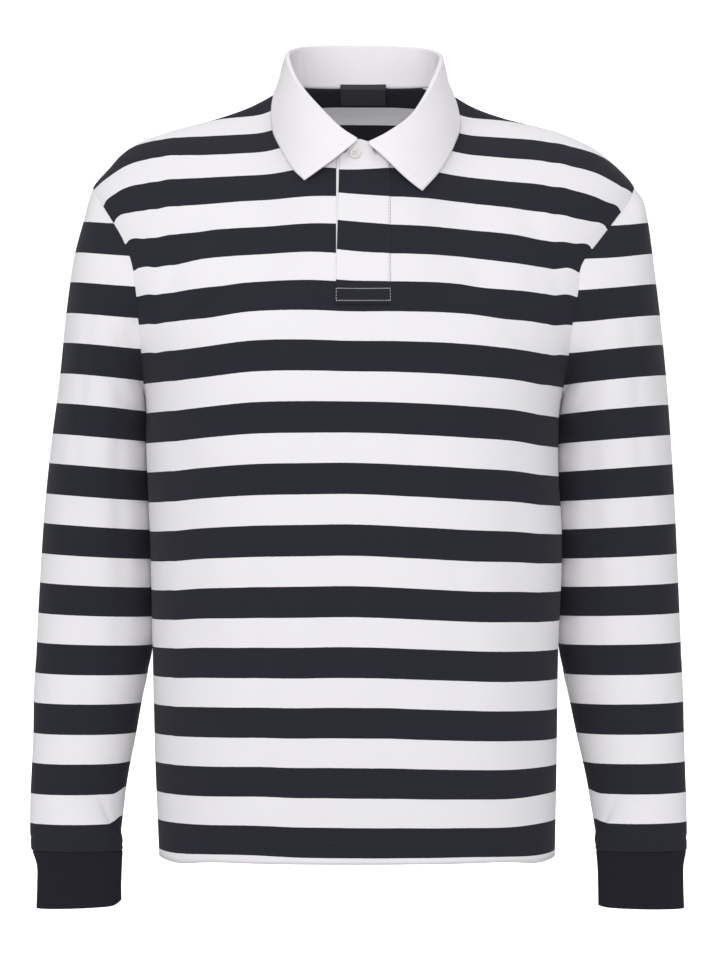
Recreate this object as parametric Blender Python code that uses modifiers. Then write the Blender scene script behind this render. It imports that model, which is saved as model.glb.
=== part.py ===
"""A long-sleeved striped rugby polo, worn and hollow, as the pieces a maker would sew.

Metres, +Z up. The front faces -Y, and left and right are as seen from the front, so left is -X. The
origin is the middle of the neck hole, level with the tops of the shoulders, which hold the shirt up.
"""

import math

import bmesh
import bpy
import numpy as np

# Cloth
JERSEY = 0.0013
COLLAR_CLOTH = 0.0013
CUFF_CLOTH = 0.0016
UNDER_PLACKET_CLOTH = 0.0008
LABEL_CLOTH = 0.0006
SEAM_GAP = 0.0009
ARMHOLE_GAP = 0.0012
LAYER_GAP = 0.0009

# Heights, down from the neck
HEM = -0.710
ARMPIT = -0.275
SHOULDER_TIP = -0.0765
NECK_SIDE = 0.018
FRONT_NECK_DROP = 0.068
BACK_NECK_RISE = 0.0065

# How finely the panels and sleeves are divided
TRUNK_ROWS = 13
ARMHOLE_ROWS_UP = 9
SHOULDER_ROWS = 9
SLEEVE_RINGS = 18
PANEL_CELLS = 20
EVEN_SHARE = 0.75
BESIDE_SEAM = 0.985

# The neck hole
NECK_X = 0.0045
NECK_HALF_WIDTH = 0.078
NECK_SPREAD = 0.075
NECK_ROWS_START = -0.200

# Body sections, level cuts from the hem up. left and right are half widths, front and back are
# reaches from the ridge, the line along which front and back panels meet. front_neck and
# back_neck are how much further the cloth reaches near the neck.
SECTION_POWER = 2.6
BODY_COLUMNS = "z left right front back ridge front_neck back_neck"
BODY_ROWS = (
    (-0.710, 0.1893, 0.1865, 0.0980, 0.1040, 0.000, 0.000, 0.000),
    (-0.620, 0.1930, 0.1882, 0.1100, 0.1110, 0.000, 0.000, 0.000),
    (-0.520, 0.1953, 0.1895, 0.1190, 0.1170, 0.000, 0.000, 0.000),
    (-0.420, 0.1975, 0.1932, 0.1250, 0.1230, 0.000, 0.000, 0.000),
    (-0.320, 0.2018, 0.1898, 0.1285, 0.1290, 0.002, 0.000, 0.000),
    (-0.275, 0.2030, 0.1935, 0.1300, 0.1310, 0.004, 0.000, 0.000),
    (-0.230, 0.2190, 0.2130, 0.1300, 0.1290, 0.010, 0.000, 0.000),
    (-0.180, 0.2400, 0.2380, 0.1210, 0.1190, 0.017, 0.009, 0.003),
    (-0.130, 0.2520, 0.2560, 0.1020, 0.1020, 0.022, 0.017, 0.011),
    (-0.100, 0.2555, 0.2635, 0.0880, 0.0890, 0.024, 0.023, 0.018),
    (-0.0765, 0.2540, 0.2640, 0.0735, 0.0760, 0.025, 0.029, 0.025),
    (-0.057, 0.2377, 0.2475, 0.0585, 0.0610, 0.025, 0.037, 0.033),
    (-0.045, 0.2270, 0.2340, 0.0480, 0.0510, 0.025, 0.045, 0.040),
    (-0.033, 0.2090, 0.2140, 0.0355, 0.0390, 0.025, 0.056, 0.048),
    (-0.0225, 0.1800, 0.1880, 0.0250, 0.0280, 0.025, 0.066, 0.053),
    (-0.010, 0.1340, 0.1390, 0.0150, 0.0180, 0.025, 0.078, 0.057),
    (0.0005, 0.1045, 0.1100, 0.0090, 0.0110, 0.025, 0.086, 0.058),
    (0.0075, 0.0905, 0.0975, 0.0060, 0.0070, 0.025, 0.086, 0.056),
    (0.018, 0.0735, 0.0825, 0.0030, 0.0040, 0.025, 0.080, 0.051),
    (0.030, 0.0640, 0.0730, 0.0020, 0.0030, 0.025, 0.070, 0.044),
)

# The armhole seam as seen from the front, from the armpit to the shoulder tip.
ARMHOLE_COLUMNS = "z left right"
ARMHOLE_ROWS = (
    (-0.2750, 0.2030, 0.1935),
    (-0.2400, 0.2036, 0.1970),
    (-0.2100, 0.2055, 0.2000),
    (-0.1800, 0.2080, 0.2053),
    (-0.1550, 0.2118, 0.2085),
    (-0.1310, 0.2209, 0.2263),
    (-0.1100, 0.2335, 0.2427),
    (-0.0920, 0.2450, 0.2560),
    (-0.0765, 0.2540, 0.2640),
)
BACK_ARMHOLE_EASE = 0.3

# Sleeve rings fan from the armhole to level ovals. outer and inner are the ends of each ring,
# front_to_back its half depth, middle its y, armhole how much it keeps of the armhole's own loop.
SLEEVE_COLUMNS = (
    "ring outer_z inner_z left_outer left_inner right_outer right_inner front_to_back middle armhole"
)
SLEEVE_ROWS = (
    (0, -0.0765, -0.2750, 0.2540, 0.2030, 0.2640, 0.1935, 0.0680, 0.018, 1.00),
    (1, -0.0880, -0.2765, 0.2576, 0.2036, 0.2719, 0.1942, 0.0685, 0.018, 0.80),
    (2, -0.1070, -0.2790, 0.2623, 0.2040, 0.2764, 0.1946, 0.0690, 0.018, 0.50),
    (3, -0.1460, -0.2840, 0.2719, 0.2042, 0.2815, 0.1948, 0.0700, 0.018, 0.20),
    (4, -0.2000, -0.2930, 0.2793, 0.2043, 0.2880, 0.1946, 0.0700, 0.020, 0.00),
    (5, -0.2600, -0.3100, 0.2858, 0.2038, 0.2945, 0.1920, 0.0670, 0.024, 0.00),
    (6, -0.3250, -0.3400, 0.2947, 0.2015, 0.2998, 0.1908, 0.0620, 0.029, 0.00),
    (7, -0.3900, -0.3900, 0.3016, 0.1985, 0.3040, 0.1912, 0.0560, 0.033, 0.00),
    (8, -0.4600, -0.4600, 0.3062, 0.1950, 0.3072, 0.1908, 0.0510, 0.034, 0.00),
    (9, -0.5200, -0.5200, 0.3091, 0.1975, 0.3096, 0.1920, 0.0465, 0.032, 0.00),
    (10, -0.5600, -0.5600, 0.3110, 0.2062, 0.3110, 0.2008, 0.0430, 0.028, 0.00),
    (11, -0.6000, -0.6000, 0.3114, 0.2130, 0.3117, 0.2088, 0.0390, 0.024, 0.00),
    (12, -0.6500, -0.6500, 0.3133, 0.2219, 0.3130, 0.2193, 0.0330, 0.018, 0.00),
    (13, -0.6900, -0.6900, 0.3133, 0.2246, 0.3133, 0.2241, 0.0270, 0.013, 0.00),
    (14, -0.7085, -0.7085, 0.3120, 0.2244, 0.3130, 0.2258, 0.0225, 0.010, 0.00),
)

# Cuff rings, level ovals down from the sleeve's end.
CUFF_COLUMNS = "z left_outer left_inner right_outer right_inner front_to_back middle"
CUFF_ROWS = (
    (-0.7090, 0.3110, 0.2246, 0.3125, 0.2262, 0.0215, 0.010),
    (-0.7220, 0.3068, 0.2252, 0.3100, 0.2274, 0.0190, 0.009),
    (-0.7420, 0.3062, 0.2258, 0.3096, 0.2280, 0.0180, 0.008),
    (-0.7635, 0.3068, 0.2240, 0.3102, 0.2282, 0.0185, 0.007),
)
CUFF_RIBS = 48
RIB_HEIGHT = 0.0006

# Large soft folds in the panels, as straight troughs seen from the front; side -1 is the front.
FOLD_COLUMNS = "side x z end_x end_z width depth"
FOLD_ROWS = (
    (-1, -0.202, -0.268, -0.125, -0.190, 0.014, 0.0040),
    (-1, -0.196, -0.215, -0.150, -0.125, 0.012, 0.0028),
    (-1, -0.168, -0.310, -0.150, -0.500, 0.020, 0.0030),
    (-1, 0.190, -0.262, 0.112, -0.176, 0.015, 0.0045),
    (-1, 0.196, -0.205, 0.160, -0.110, 0.012, 0.0030),
    (-1, 0.150, -0.360, 0.162, -0.610, 0.021, 0.0035),
    (1, -0.196, -0.268, -0.098, -0.195, 0.016, 0.0050),
    (1, 0.188, -0.262, 0.085, -0.180, 0.017, 0.0050),
    (1, -0.088, -0.310, -0.100, -0.600, 0.025, 0.0050),
    (1, 0.078, -0.270, 0.104, -0.570, 0.022, 0.0055),
    (1, 0.012, -0.430, -0.012, -0.690, 0.030, 0.0040),
)

# Large soft folds in the sleeves. angle is round the ring from its outer end by way of the front.
SLEEVE_FOLD_COLUMNS = "ring angle ring_spread angle_spread slope depth"
SLEEVE_FOLD_ROWS = (
    (4.6, 2.5, 0.40, 0.8, 0.5, 0.050),
    (7.4, 3.6, 0.35, 0.9, -0.4, 0.060),
    (8.5, 4.3, 0.30, 0.8, -0.5, 0.070),
    (12.5, 2.4, 0.30, 0.8, 0.3, 0.060),
    (12.2, 5.0, 0.35, 0.9, -0.3, 0.050),
)

# The collar from its left front end, round the back, to its right front end. fold is the top line,
# edge the outer line of the fall as seen from the front, which stands off the body by lift.
COLLAR_COLUMNS = "along fold_x fold_y fold_z edge_x edge_z lift"
COLLAR_ROWS = (
    (-1.00, -0.0042, -0.0790, -0.0428, -0.0506, -0.0773, 0.0034),
    (-0.90, -0.0171, -0.0760, -0.0286, -0.0605, -0.0670, 0.0034),
    (-0.80, -0.0363, -0.0630, -0.0083, -0.0716, -0.0465, 0.0034),
    (-0.70, -0.0510, -0.0450, 0.0097, -0.0785, -0.0299, 0.0042),
    (-0.60, -0.0607, -0.0270, 0.0260, -0.0810, -0.0100, 0.0050),
    (-0.50, -0.0668, -0.0020, 0.0440, -0.0830, 0.0110, 0.0064),
    (-0.35, -0.0655, 0.0330, 0.0570, -0.0800, 0.0095, 0.0044),
    (-0.20, -0.0480, 0.0650, 0.0650, -0.0600, 0.0100, 0.0034),
    (0.00, 0.0047, 0.0830, 0.0680, 0.0047, 0.0110, 0.0034),
    (0.20, 0.0590, 0.0650, 0.0635, 0.0710, 0.0095, 0.0034),
    (0.35, 0.0760, 0.0330, 0.0550, 0.0900, 0.0080, 0.0044),
    (0.50, 0.0780, -0.0020, 0.0420, 0.0930, 0.0085, 0.0056),
    (0.60, 0.0724, -0.0270, 0.0260, 0.0950, -0.0090, 0.0050),
    (0.70, 0.0620, -0.0450, 0.0040, 0.0945, -0.0260, 0.0042),
    (0.80, 0.0480, -0.0630, -0.0170, 0.0865, -0.0480, 0.0034),
    (0.90, 0.0270, -0.0760, -0.0335, 0.0750, -0.0690, 0.0034),
    (1.00, 0.0090, -0.0790, -0.0430, 0.0593, -0.0882, 0.0034),
)
COLLAR_FOLD_RADIUS = 0.0024
RIDGE_INSET = 0.97
COLLAR_BULGE = 0.0035
COLLAR_FRONT_END = 0.96
COLLAR_LAST_COLUMN = 0.2

# Placket
PLACKET_FREE_EDGE = (-0.0212, -0.0175)
PLACKET_SEWN_EDGE = 0.0297
PLACKET_TOP_DROP = 0.0045
UNDER_EDGES = (-0.0206, 0.0265)
TAB_EDGES = (-0.0025, 0.0035)
TAB_RISE = 0.0110
TAB_LEAN = 0.0025
# Columns of the front panel between the placket's edges, as shares of its half width; the middle
# pair are the sides of the slit.
PLACKET_COLUMNS = (-0.055, 0.012, 0.030, 0.075)
PLACKET_FIRST_COLUMN = 10
PLACKET_FOOT = -0.195
PLACKET_TOP = -0.053

# Label and button
LABEL_WIDTH = 0.044
LABEL_TOP = 0.0285
LABEL_FOOT = 0.0085
LABEL_BEND = 0.0236
LABEL_INSET = 0.0033
BUTTON_PLACE = (-0.0032, -0.0535)
BUTTON_RADIUS = 0.0052
BUTTON_THICKNESS = 0.0024
BUTTON_SHANK = 0.0014
BUTTON_HOLE_RADIUS = 0.0007
BUTTON_HOLE_SPACING = 0.0012


def table(columns, rows):
    """A short table's named columns as arrays."""
    return dict(zip(columns.split(), np.array(rows, float).T))


BODY = table(BODY_COLUMNS, BODY_ROWS)
ARMHOLE = table(ARMHOLE_COLUMNS, ARMHOLE_ROWS)
SLEEVE = table(SLEEVE_COLUMNS, SLEEVE_ROWS)
CUFF = table(CUFF_COLUMNS, CUFF_ROWS[::-1])
FOLDS = table(FOLD_COLUMNS, FOLD_ROWS)
SLEEVE_FOLDS = table(SLEEVE_FOLD_COLUMNS, SLEEVE_FOLD_ROWS)
COLLAR = table(COLLAR_COLUMNS, COLLAR_ROWS)


def follow(rows, column, at, key="z"):
    """A smooth curve through one column, cubic between rows with their neighbours' slopes."""
    xs = rows[key]
    ys = rows[column]
    slopes = np.gradient(ys, xs)
    at = np.clip(at, xs[0], xs[-1])
    i = np.clip(np.searchsorted(xs, at) - 1, 0, len(xs) - 2)
    step = xs[i + 1] - xs[i]
    t = (at - xs[i]) / step
    ends = ys[i] * (1 + 2 * t) * (1 - t) ** 2 + ys[i + 1] * t * t * (3 - 2 * t)
    return ends + step * t * (1 - t) * (slopes[i] * (1 - t) - slopes[i + 1] * t)


def by_hand(rows, x, z):
    """The left column where x is negative and the right one where it isn't."""
    return np.where(x < 0, follow(rows, "left", z), follow(rows, "right", z))


def fold_depth(x, z, side):
    """How far the panel's soft troughs draw the cloth in at (x, z)."""
    total = np.zeros(np.broadcast(x, z).shape)
    for i in np.flatnonzero(FOLDS["side"] == side):
        start = np.array((FOLDS["x"][i], FOLDS["z"][i]))
        run = np.array((FOLDS["end_x"][i], FOLDS["end_z"][i])) - start
        share = ((x - start[0]) * run[0] + (z - start[1]) * run[1]) / (run @ run)
        near = np.clip(share, 0, 1)
        away = np.hypot(x - start[0] - near * run[0], z - start[1] - near * run[1])
        total += FOLDS["depth"][i] * np.exp(-((away / FOLDS["width"][i]) ** 2))
    return total


def body_y(x, z, side):
    """Depth of the body's outer surface at (x, z); side -1 is the front and 1 the back."""
    face = "front" if side < 0 else "back"
    ratio = np.clip(np.abs(x) / by_hand(BODY, x, z), 0, 1)
    share = np.sqrt(1 - ratio**SECTION_POWER)
    near_neck = np.exp(-((np.abs(x - NECK_X) / NECK_SPREAD) ** 4))
    reach = follow(BODY, face, z) + follow(BODY, face + "_neck", z) * near_neck
    return follow(BODY, "ridge", z) + side * share * (reach - fold_depth(x, z, side))


def body_point(x, z, side, lift):
    """A point this far off the body's outer surface, along the surface's own normal."""
    limit = RIDGE_INSET * by_hand(BODY, x, z)
    x = np.clip(x, -limit, limit)
    nudge = 0.0004
    across = (body_y(x + nudge, z, side) - body_y(x - nudge, z, side)) / (2 * nudge)
    upward = (body_y(x, z + nudge, side) - body_y(x, z - nudge, side)) / (2 * nudge)
    normal = np.stack((-side * across, side + 0 * across, -side * upward), axis=-1)
    normal /= np.linalg.norm(normal, axis=-1, keepdims=True)
    return np.stack((x, body_y(x, z, side), z), axis=-1) + lift * normal


def armhole_x(x, z, side):
    """Half width at which the armhole seam cuts the panel; the back one is cut less deeply."""
    seam = by_hand(ARMHOLE, x, z)
    full = by_hand(BODY, x, z)
    return np.minimum(seam + (BACK_ARMHOLE_EASE * (full - seam) if side > 0 else 0), full)


def neck_curve(u, side):
    """(x, z) along the neck edge of a panel, u from -1 to 1 between the neck's sides."""
    change = -FRONT_NECK_DROP if side < 0 else BACK_NECK_RISE
    x = NECK_X + NECK_HALF_WIDTH * np.sin(u * math.pi / 2)
    return x, NECK_SIDE + change * np.clip(np.cos(u * math.pi / 2), 0, 1) ** 1.1


def section_angle(x, z):
    """Angle round the section, 0 at the middle and a quarter turn on the ridge."""
    return np.arcsin(np.clip(x / by_hand(BODY, x, z), -1, 1))


def armhole_z(angle):
    """Height on the armhole seam: the shoulder tip at angle 0 and the armpit at a half turn."""
    return (SHOULDER_TIP + ARMPIT) / 2 + (SHOULDER_TIP - ARMPIT) / 2 * np.cos(angle)


def panel_grid(side, columns):
    """Rows run from the hem to the neck edge, their ends up the side seam, armhole and shoulder."""
    edge_z = np.concatenate(
        (
            np.linspace(HEM, ARMPIT, TRUNK_ROWS + 1),
            armhole_z(np.linspace(math.pi, 0, ARMHOLE_ROWS_UP + 1))[1:],
            np.linspace(SHOULDER_TIP, NECK_SIDE, SHOULDER_ROWS + 1)[1:],
        )
    )[:, None]
    u = np.asarray(columns)[None, :]
    in_armhole = (edge_z > ARMPIT) & (edge_z < SHOULDER_TIP)
    armhole_share = armhole_x(u, edge_z, side) / by_hand(BODY, u, edge_z)
    edge_angle = np.arcsin(np.where(in_armhole, np.clip(armhole_share, 0, 1), 1))
    neck_share = np.clip((edge_z - NECK_ROWS_START) / (NECK_SIDE - NECK_ROWS_START), 0, 1)
    neck_x, neck_z = neck_curve(u, side)
    neck_angle = section_angle(neck_x, neck_z)
    z = edge_z + (neck_z - NECK_SIDE) * neck_share
    angle = u * edge_angle + (neck_angle - u * math.pi / 2) * neck_share
    x = by_hand(BODY, angle, z) * np.sin(angle)
    y = body_y(x, z, side) + side * SEAM_GAP / 2
    return np.stack((x, y, z), axis=-1)


def oval(rows, hand, at, angle, key):
    """Points on a ring: outer end at angle 0, front at a quarter turn, inner end at a half."""
    outer = follow(rows, hand + "_outer", at, key)
    inner = follow(rows, hand + "_inner", at, key)
    deep = follow(rows, "front_to_back", at, key)
    sign = -1 if hand == "left" else 1
    x = sign * ((outer + inner) / 2 + (outer - inner) / 2 * np.cos(angle))
    y = follow(rows, "middle", at, key) - deep * np.sin(angle)
    return x, y


def armhole_loop(hand, angle):
    """The armhole seam as a closed loop, front half first."""
    z = armhole_z(angle)
    sign = -1 if hand == "left" else 1
    front = np.sin(angle) > 0
    x = sign * np.where(front, armhole_x(sign, z, -1), armhole_x(sign, z, 1))
    y = np.where(front, body_y(x, z, -1), body_y(x, z, 1))
    y = y + SEAM_GAP / 2 * np.sign(np.round(-np.sin(angle), 6))
    return np.stack((x, y, z), axis=-1)


def sleeve_fold(ring, angle):
    """Share by which the sleeve's soft troughs draw a ring in."""
    total = np.zeros(np.broadcast(ring, angle).shape)
    for i in range(len(SLEEVE_FOLDS["ring"])):
        turn = (angle - SLEEVE_FOLDS["angle"][i] + math.pi) % (2 * math.pi) - math.pi
        rise = ring - SLEEVE_FOLDS["ring"][i] - SLEEVE_FOLDS["slope"][i] * turn
        near = (turn / SLEEVE_FOLDS["angle_spread"][i]) ** 2
        near = near + (rise / SLEEVE_FOLDS["ring_spread"][i]) ** 2
        total += SLEEVE_FOLDS["depth"][i] * np.exp(-near)
    return total


def sleeve_grid(hand):
    """Rings that start on the armhole's loop and become level ovals towards the wrist."""
    angle = np.linspace(0, 2 * math.pi, 2 * ARMHOLE_ROWS_UP, endpoint=False)[None, :]
    ring = np.linspace(0, SLEEVE["ring"][-1], SLEEVE_RINGS + 1)[:, None]
    outer_z = follow(SLEEVE, "outer_z", ring, "ring")
    inner_z = follow(SLEEVE, "inner_z", ring, "ring")
    x, y = oval(SLEEVE, hand, ring, angle, "ring")
    z = (outer_z + inner_z) / 2 + (outer_z - inner_z) / 2 * np.cos(angle)
    points = np.stack((x, y, z), axis=-1)
    centre = points.mean(axis=1, keepdims=True)
    points = points - (points - centre) * sleeve_fold(ring, angle)[..., None]
    keep = follow(SLEEVE, "armhole", ring, "ring")[..., None]
    points = points + keep * (armhole_loop(hand, angle) - points[:1])
    leave = points[1] - points[0]
    points[0] += leave / np.linalg.norm(leave, axis=-1, keepdims=True) * ARMHOLE_GAP
    return points


def even_angles(width, depth, count):
    """Angles that space points evenly round an oval."""
    fine = np.linspace(0, 2 * math.pi, 721)
    steps = np.hypot(width * np.diff(np.cos(fine)), depth * np.diff(np.sin(fine)))
    length = np.concatenate(((0,), np.cumsum(steps)))
    return np.interp(np.linspace(0, length[-1], count, endpoint=False), length, fine)


def cuff_grids(hand, rows=4):
    """Outer points with raised ribs and plain inner points, from the seam down."""
    angle = even_angles(0.041, 0.019, 2 * CUFF_RIBS)[None, :]
    z = np.linspace(CUFF["z"][-1], CUFF["z"][0], rows)[:, None]
    x, y = oval(CUFF, hand, z, angle, "z")
    outer = np.stack((x, y, np.broadcast_to(z, x.shape)), axis=-1)
    along = np.roll(outer, -1, axis=1) - np.roll(outer, 1, axis=1)
    sign = 1 if hand == "left" else -1
    facing = np.stack((sign * along[..., 1], -sign * along[..., 0], 0 * x), axis=-1)
    facing /= np.linalg.norm(facing, axis=-1, keepdims=True)
    groove = (RIB_HEIGHT * (np.arange(2 * CUFF_RIBS) % 2))[None, :, None]
    return outer - facing * groove, outer - facing * CUFF_CLOTH


def collar_columns():
    """Columns of the collar that meet those of the two panels along the neck seam."""
    u = panel_columns()
    front_part = (1 - u[u > COLLAR_LAST_COLUMN] / 2)[-2::-1] / COLLAR_FRONT_END
    front_part = np.append(front_part, 1)
    return np.concatenate((-front_part[::-1], u / 2 / COLLAR_FRONT_END, front_part))


def collar_grid(stand_steps=2, fall_steps=4):
    """Each column runs up the stand from the neck seam, over the fold and down the fall."""
    along = collar_columns()
    fold = np.stack([follow(COLLAR, "fold_" + axis, along, "along") for axis in "xyz"], axis=-1)
    edge_x = follow(COLLAR, "edge_x", along, "along")
    edge_z = follow(COLLAR, "edge_z", along, "along")
    lift = follow(COLLAR, "lift", along, "along")[:, None]
    front_edge = body_point(edge_x, edge_z, -1, lift)
    back_edge = body_point(edge_x, edge_z, 1, lift)
    front_share = np.clip((np.abs(along) - 0.5) * 8 + 0.5, 0, 1)[:, None]
    edge = front_edge * front_share + back_edge * (1 - front_share)
    seam = collar_seam(along)
    out = fold - (NECK_X, 0.0, 0.0)
    out[:, 2] = 0
    out /= np.linalg.norm(out, axis=-1, keepdims=True)
    up = np.array((0.0, 0.0, 1.0))
    centre = fold - up * COLLAR_FOLD_RADIUS
    arc = [
        centre + COLLAR_FOLD_RADIUS * (math.cos(turn) * out + math.sin(turn) * up)
        for turn in np.radians((180, 120, 60, 0))
    ]
    rise = arc[0] - seam
    seam = seam + rise / np.linalg.norm(rise, axis=-1, keepdims=True) * SEAM_GAP
    stand = [seam + (arc[0] - seam) * share for share in np.linspace(0, 1, stand_steps + 1)[:-1]]
    fall = []
    for share in np.linspace(0, 1, fall_steps + 1)[1:]:
        bulge = COLLAR_BULGE * math.sin(math.pi * share)
        fall.append(arc[-1] + (edge - arc[-1]) * share + bulge * (out + 0.5 * up))
    return np.stack(stand + arc + fall, axis=1)


def collar_seam(along):
    """The neck seam that the collar's stand rises from: front curve, back curve, front curve."""
    along = along * COLLAR_FRONT_END
    on_front = np.abs(along) > 0.5
    u = np.where(on_front, np.sign(along) * 2 * (1 - np.abs(along)), 2 * along)
    front_x, front_z = neck_curve(u, -1)
    back_x, back_z = neck_curve(u, 1)
    x = np.where(on_front, front_x, back_x)
    z = np.where(on_front, front_z, back_z)
    y = np.where(on_front, body_y(x, z, -1), body_y(x, z, 1))
    return np.stack((x, y, z), axis=-1)


def placket_rows(panel):
    """The front panel's rows under the placket, the last one just short of the neck edge."""
    rows = panel[TRUNK_ROWS + ARMHOLE_ROWS_UP // 2 :].copy()
    rise = rows[-1] - rows[-2]
    rows[-1] -= rise * PLACKET_TOP_DROP / np.linalg.norm(rise, axis=-1, keepdims=True)
    return rows


def strip_grid(panel, left, right, lift):
    """A strip on the front panel, made from the panel's own points and moved out."""
    first = PLACKET_FIRST_COLUMN
    strip = []
    for row in placket_rows(panel):
        share = (row[first, 2] - PLACKET_FOOT) / (PLACKET_TOP - PLACKET_FOOT)
        low_x = left[0] + (left[1] - left[0]) * share
        middle = row[first : first + len(PLACKET_COLUMNS), 0]
        x = np.concatenate(((low_x,), middle, (right,)))
        y = np.interp(x, row[:, 0], row[:, 1]) - lift
        z = np.interp(x, row[:, 0], row[:, 2])
        strip.append(np.stack((x, y, z), axis=-1))
    return np.array(strip)


def with_tab(strip):
    """The outer placket's top row again, raised between the collar's ends as its button tab."""
    tab = strip[-1].copy()
    tab[:, 2] += TAB_RISE
    tab[:, 1] -= TAB_LEAN
    tab[1:-1, 0] = np.linspace(*TAB_EDGES, len(PLACKET_COLUMNS))
    return np.concatenate((strip, tab[None]))


def label_grid():
    """The label hangs from the collar seam and lies along the inside of the back panel."""
    x = NECK_X + np.linspace(-0.5, 0.5, 5)[None, :] * LABEL_WIDTH
    z = np.array((LABEL_FOOT, 0.5 * (LABEL_FOOT + LABEL_BEND), LABEL_BEND, LABEL_TOP))[:, None]
    y = body_y(x, np.minimum(z, LABEL_BEND), 1) - LABEL_INSET
    return np.stack((x + 0 * z, y, z + 0 * x), axis=-1)


def material(name, colour, roughness):
    made = bpy.data.materials.new(name)
    made.use_nodes = True
    shader = made.node_tree.nodes["Principled BSDF"]
    shader.inputs["Base Color"].default_value = (*colour, 1.0)
    shader.inputs["Roughness"].default_value = roughness
    shader.inputs["Metallic"].default_value = 0.0
    return made


def grid_faces(rows, columns, closed, flip, skip=()):
    """Quads of a grid of points, column numbers wrapping round where it is closed."""
    faces = []
    for row in range(rows - 1):
        for column in range(columns if closed else columns - 1):
            if (row, column) in skip:
                continue
            after = (column + 1) % columns
            face = (
                row * columns + column,
                row * columns + after,
                (row + 1) * columns + after,
                (row + 1) * columns + column,
            )
            faces.append(face[::-1] if flip else face)
    return faces


def add_object(name, points, faces, finish, collection):
    mesh = bpy.data.meshes.new(name)
    mesh.from_pydata([tuple(point) for point in points], [], faces)
    mesh.update()
    mesh.materials.append(finish)
    mesh.shade_smooth()
    made = bpy.data.objects.new(name, mesh)
    collection.objects.link(made)
    return made


def cloth(name, grid, thickness, finish, collection, closed=False, flip=False, skip=()):
    """An open sheet of cloth that faces outwards, given its thickness on the inner side."""
    rows, columns = grid.shape[:2]
    faces = grid_faces(rows, columns, closed, flip, skip)
    made = add_object(name, grid.reshape(-1, 3), faces, finish, collection)
    solidify = made.modifiers.new("Thickness", "SOLIDIFY")
    solidify.thickness = thickness
    solidify.offset = -1.0
    solidify.use_quality_normals = True
    return made


def ribbed_tube(name, outer, inner, finish, collection, flip):
    """A wall between unlike rings, ribbed outside and plain inside, closed at both rims."""
    rows, columns = outer.shape[:2]
    faces = grid_faces(rows, columns, True, flip)
    inside = rows * columns
    last = (rows - 1) * columns
    faces += [[inside + point for point in face[::-1]] for face in faces]
    for column in range(columns):
        after = (column + 1) % columns
        for face in (
            (column, inside + column, inside + after, after),
            (last + column, last + after, inside + last + after, inside + last + column),
        ):
            faces.append(face[::-1] if flip else face)
    points = np.concatenate((outer.reshape(-1, 3), inner.reshape(-1, 3)))
    return add_object(name, points, faces, finish, collection)


def make_button(strip, finish, collection, cutters):
    """A turned button with four thread holes, lying on the slope of the outer placket."""
    x, z = BUTTON_PLACE
    line = [[np.interp(x, row[:, 0], row[:, axis]) for axis in (1, 2)] for row in strip]
    depths, heights = np.array(line).T
    above, below = np.interp((z + BUTTON_RADIUS, z - BUTTON_RADIUS), heights, depths)
    tilt = math.atan2(above - below, 2 * BUTTON_RADIUS)
    cloth_y = np.interp(z, heights, depths)
    axis = np.array((0.0, -math.cos(tilt), math.sin(tilt)))
    upward = np.array((0.0, math.sin(tilt), math.cos(tilt)))
    sideways = np.array((1.0, 0.0, 0.0))
    foot = np.array((x, cloth_y, z)) + axis * BUTTON_SHANK
    half = BUTTON_THICKNESS / 2
    profile = [
        (BUTTON_RADIUS * 0.88, 0.0),
        (BUTTON_RADIUS, half * 0.6),
        (BUTTON_RADIUS, half * 1.4),
        (BUTTON_RADIUS * 0.88, BUTTON_THICKNESS),
        (BUTTON_RADIUS * 0.66, BUTTON_THICKNESS * 0.85),
    ]
    sides = 24
    mesh = bmesh.new()
    rings = []
    for radius, height in profile:
        ring = []
        for i in range(sides):
            turn = 2 * math.pi * i / sides
            spoke = math.cos(turn) * sideways + math.sin(turn) * upward
            ring.append(mesh.verts.new(foot + height * axis + radius * spoke))
        rings.append(ring)
    for low, high in zip(rings, rings[1:]):
        for i in range(sides):
            mesh.faces.new((low[i], low[(i + 1) % sides], high[(i + 1) % sides], high[i]))
    mesh.faces.new(rings[0])
    mesh.faces.new(rings[-1])
    bmesh.ops.recalc_face_normals(mesh, faces=mesh.faces)
    data = bpy.data.meshes.new("button")
    mesh.to_mesh(data)
    mesh.free()
    data.materials.append(finish)
    made = bpy.data.objects.new("button", data)
    collection.objects.link(made)
    for number, (across, up) in enumerate(((-1, -1), (1, -1), (-1, 1), (1, 1))):
        spoke = BUTTON_HOLE_SPACING * (across * sideways + up * upward)
        bpy.ops.mesh.primitive_cylinder_add(
            vertices=8,
            radius=BUTTON_HOLE_RADIUS,
            depth=BUTTON_THICKNESS * 3,
            location=foot + half * axis + spoke,
            rotation=(math.pi / 2 - tilt, 0, 0),
        )
        cutter = bpy.context.object
        cutter.name = f"button_hole_{number}"
        cutter.display_type = "WIRE"
        cutter.hide_render = True
        for owner in list(cutter.users_collection):
            owner.objects.unlink(cutter)
        cutters.objects.link(cutter)
        hole = made.modifiers.new(f"Thread hole {number}", "BOOLEAN")
        hole.object = cutter
    return made


def panel_columns():
    """Columns across a panel, closer towards its seams, where the cloth turns most."""
    even = np.linspace(-1, 1, PANEL_CELLS + 1)
    columns = EVEN_SHARE * even + (1 - EVEN_SHARE) * np.sin(even * math.pi / 2)
    return np.concatenate(((-1, -BESIDE_SEAM), columns[1:-1], (BESIDE_SEAM, 1)))


def front_columns():
    """The same columns with the middle ones replaced by those of the placket."""
    columns = panel_columns()
    left = columns[:PLACKET_FIRST_COLUMN]
    return np.concatenate((left, PLACKET_COLUMNS, -left[::-1]))


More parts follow.
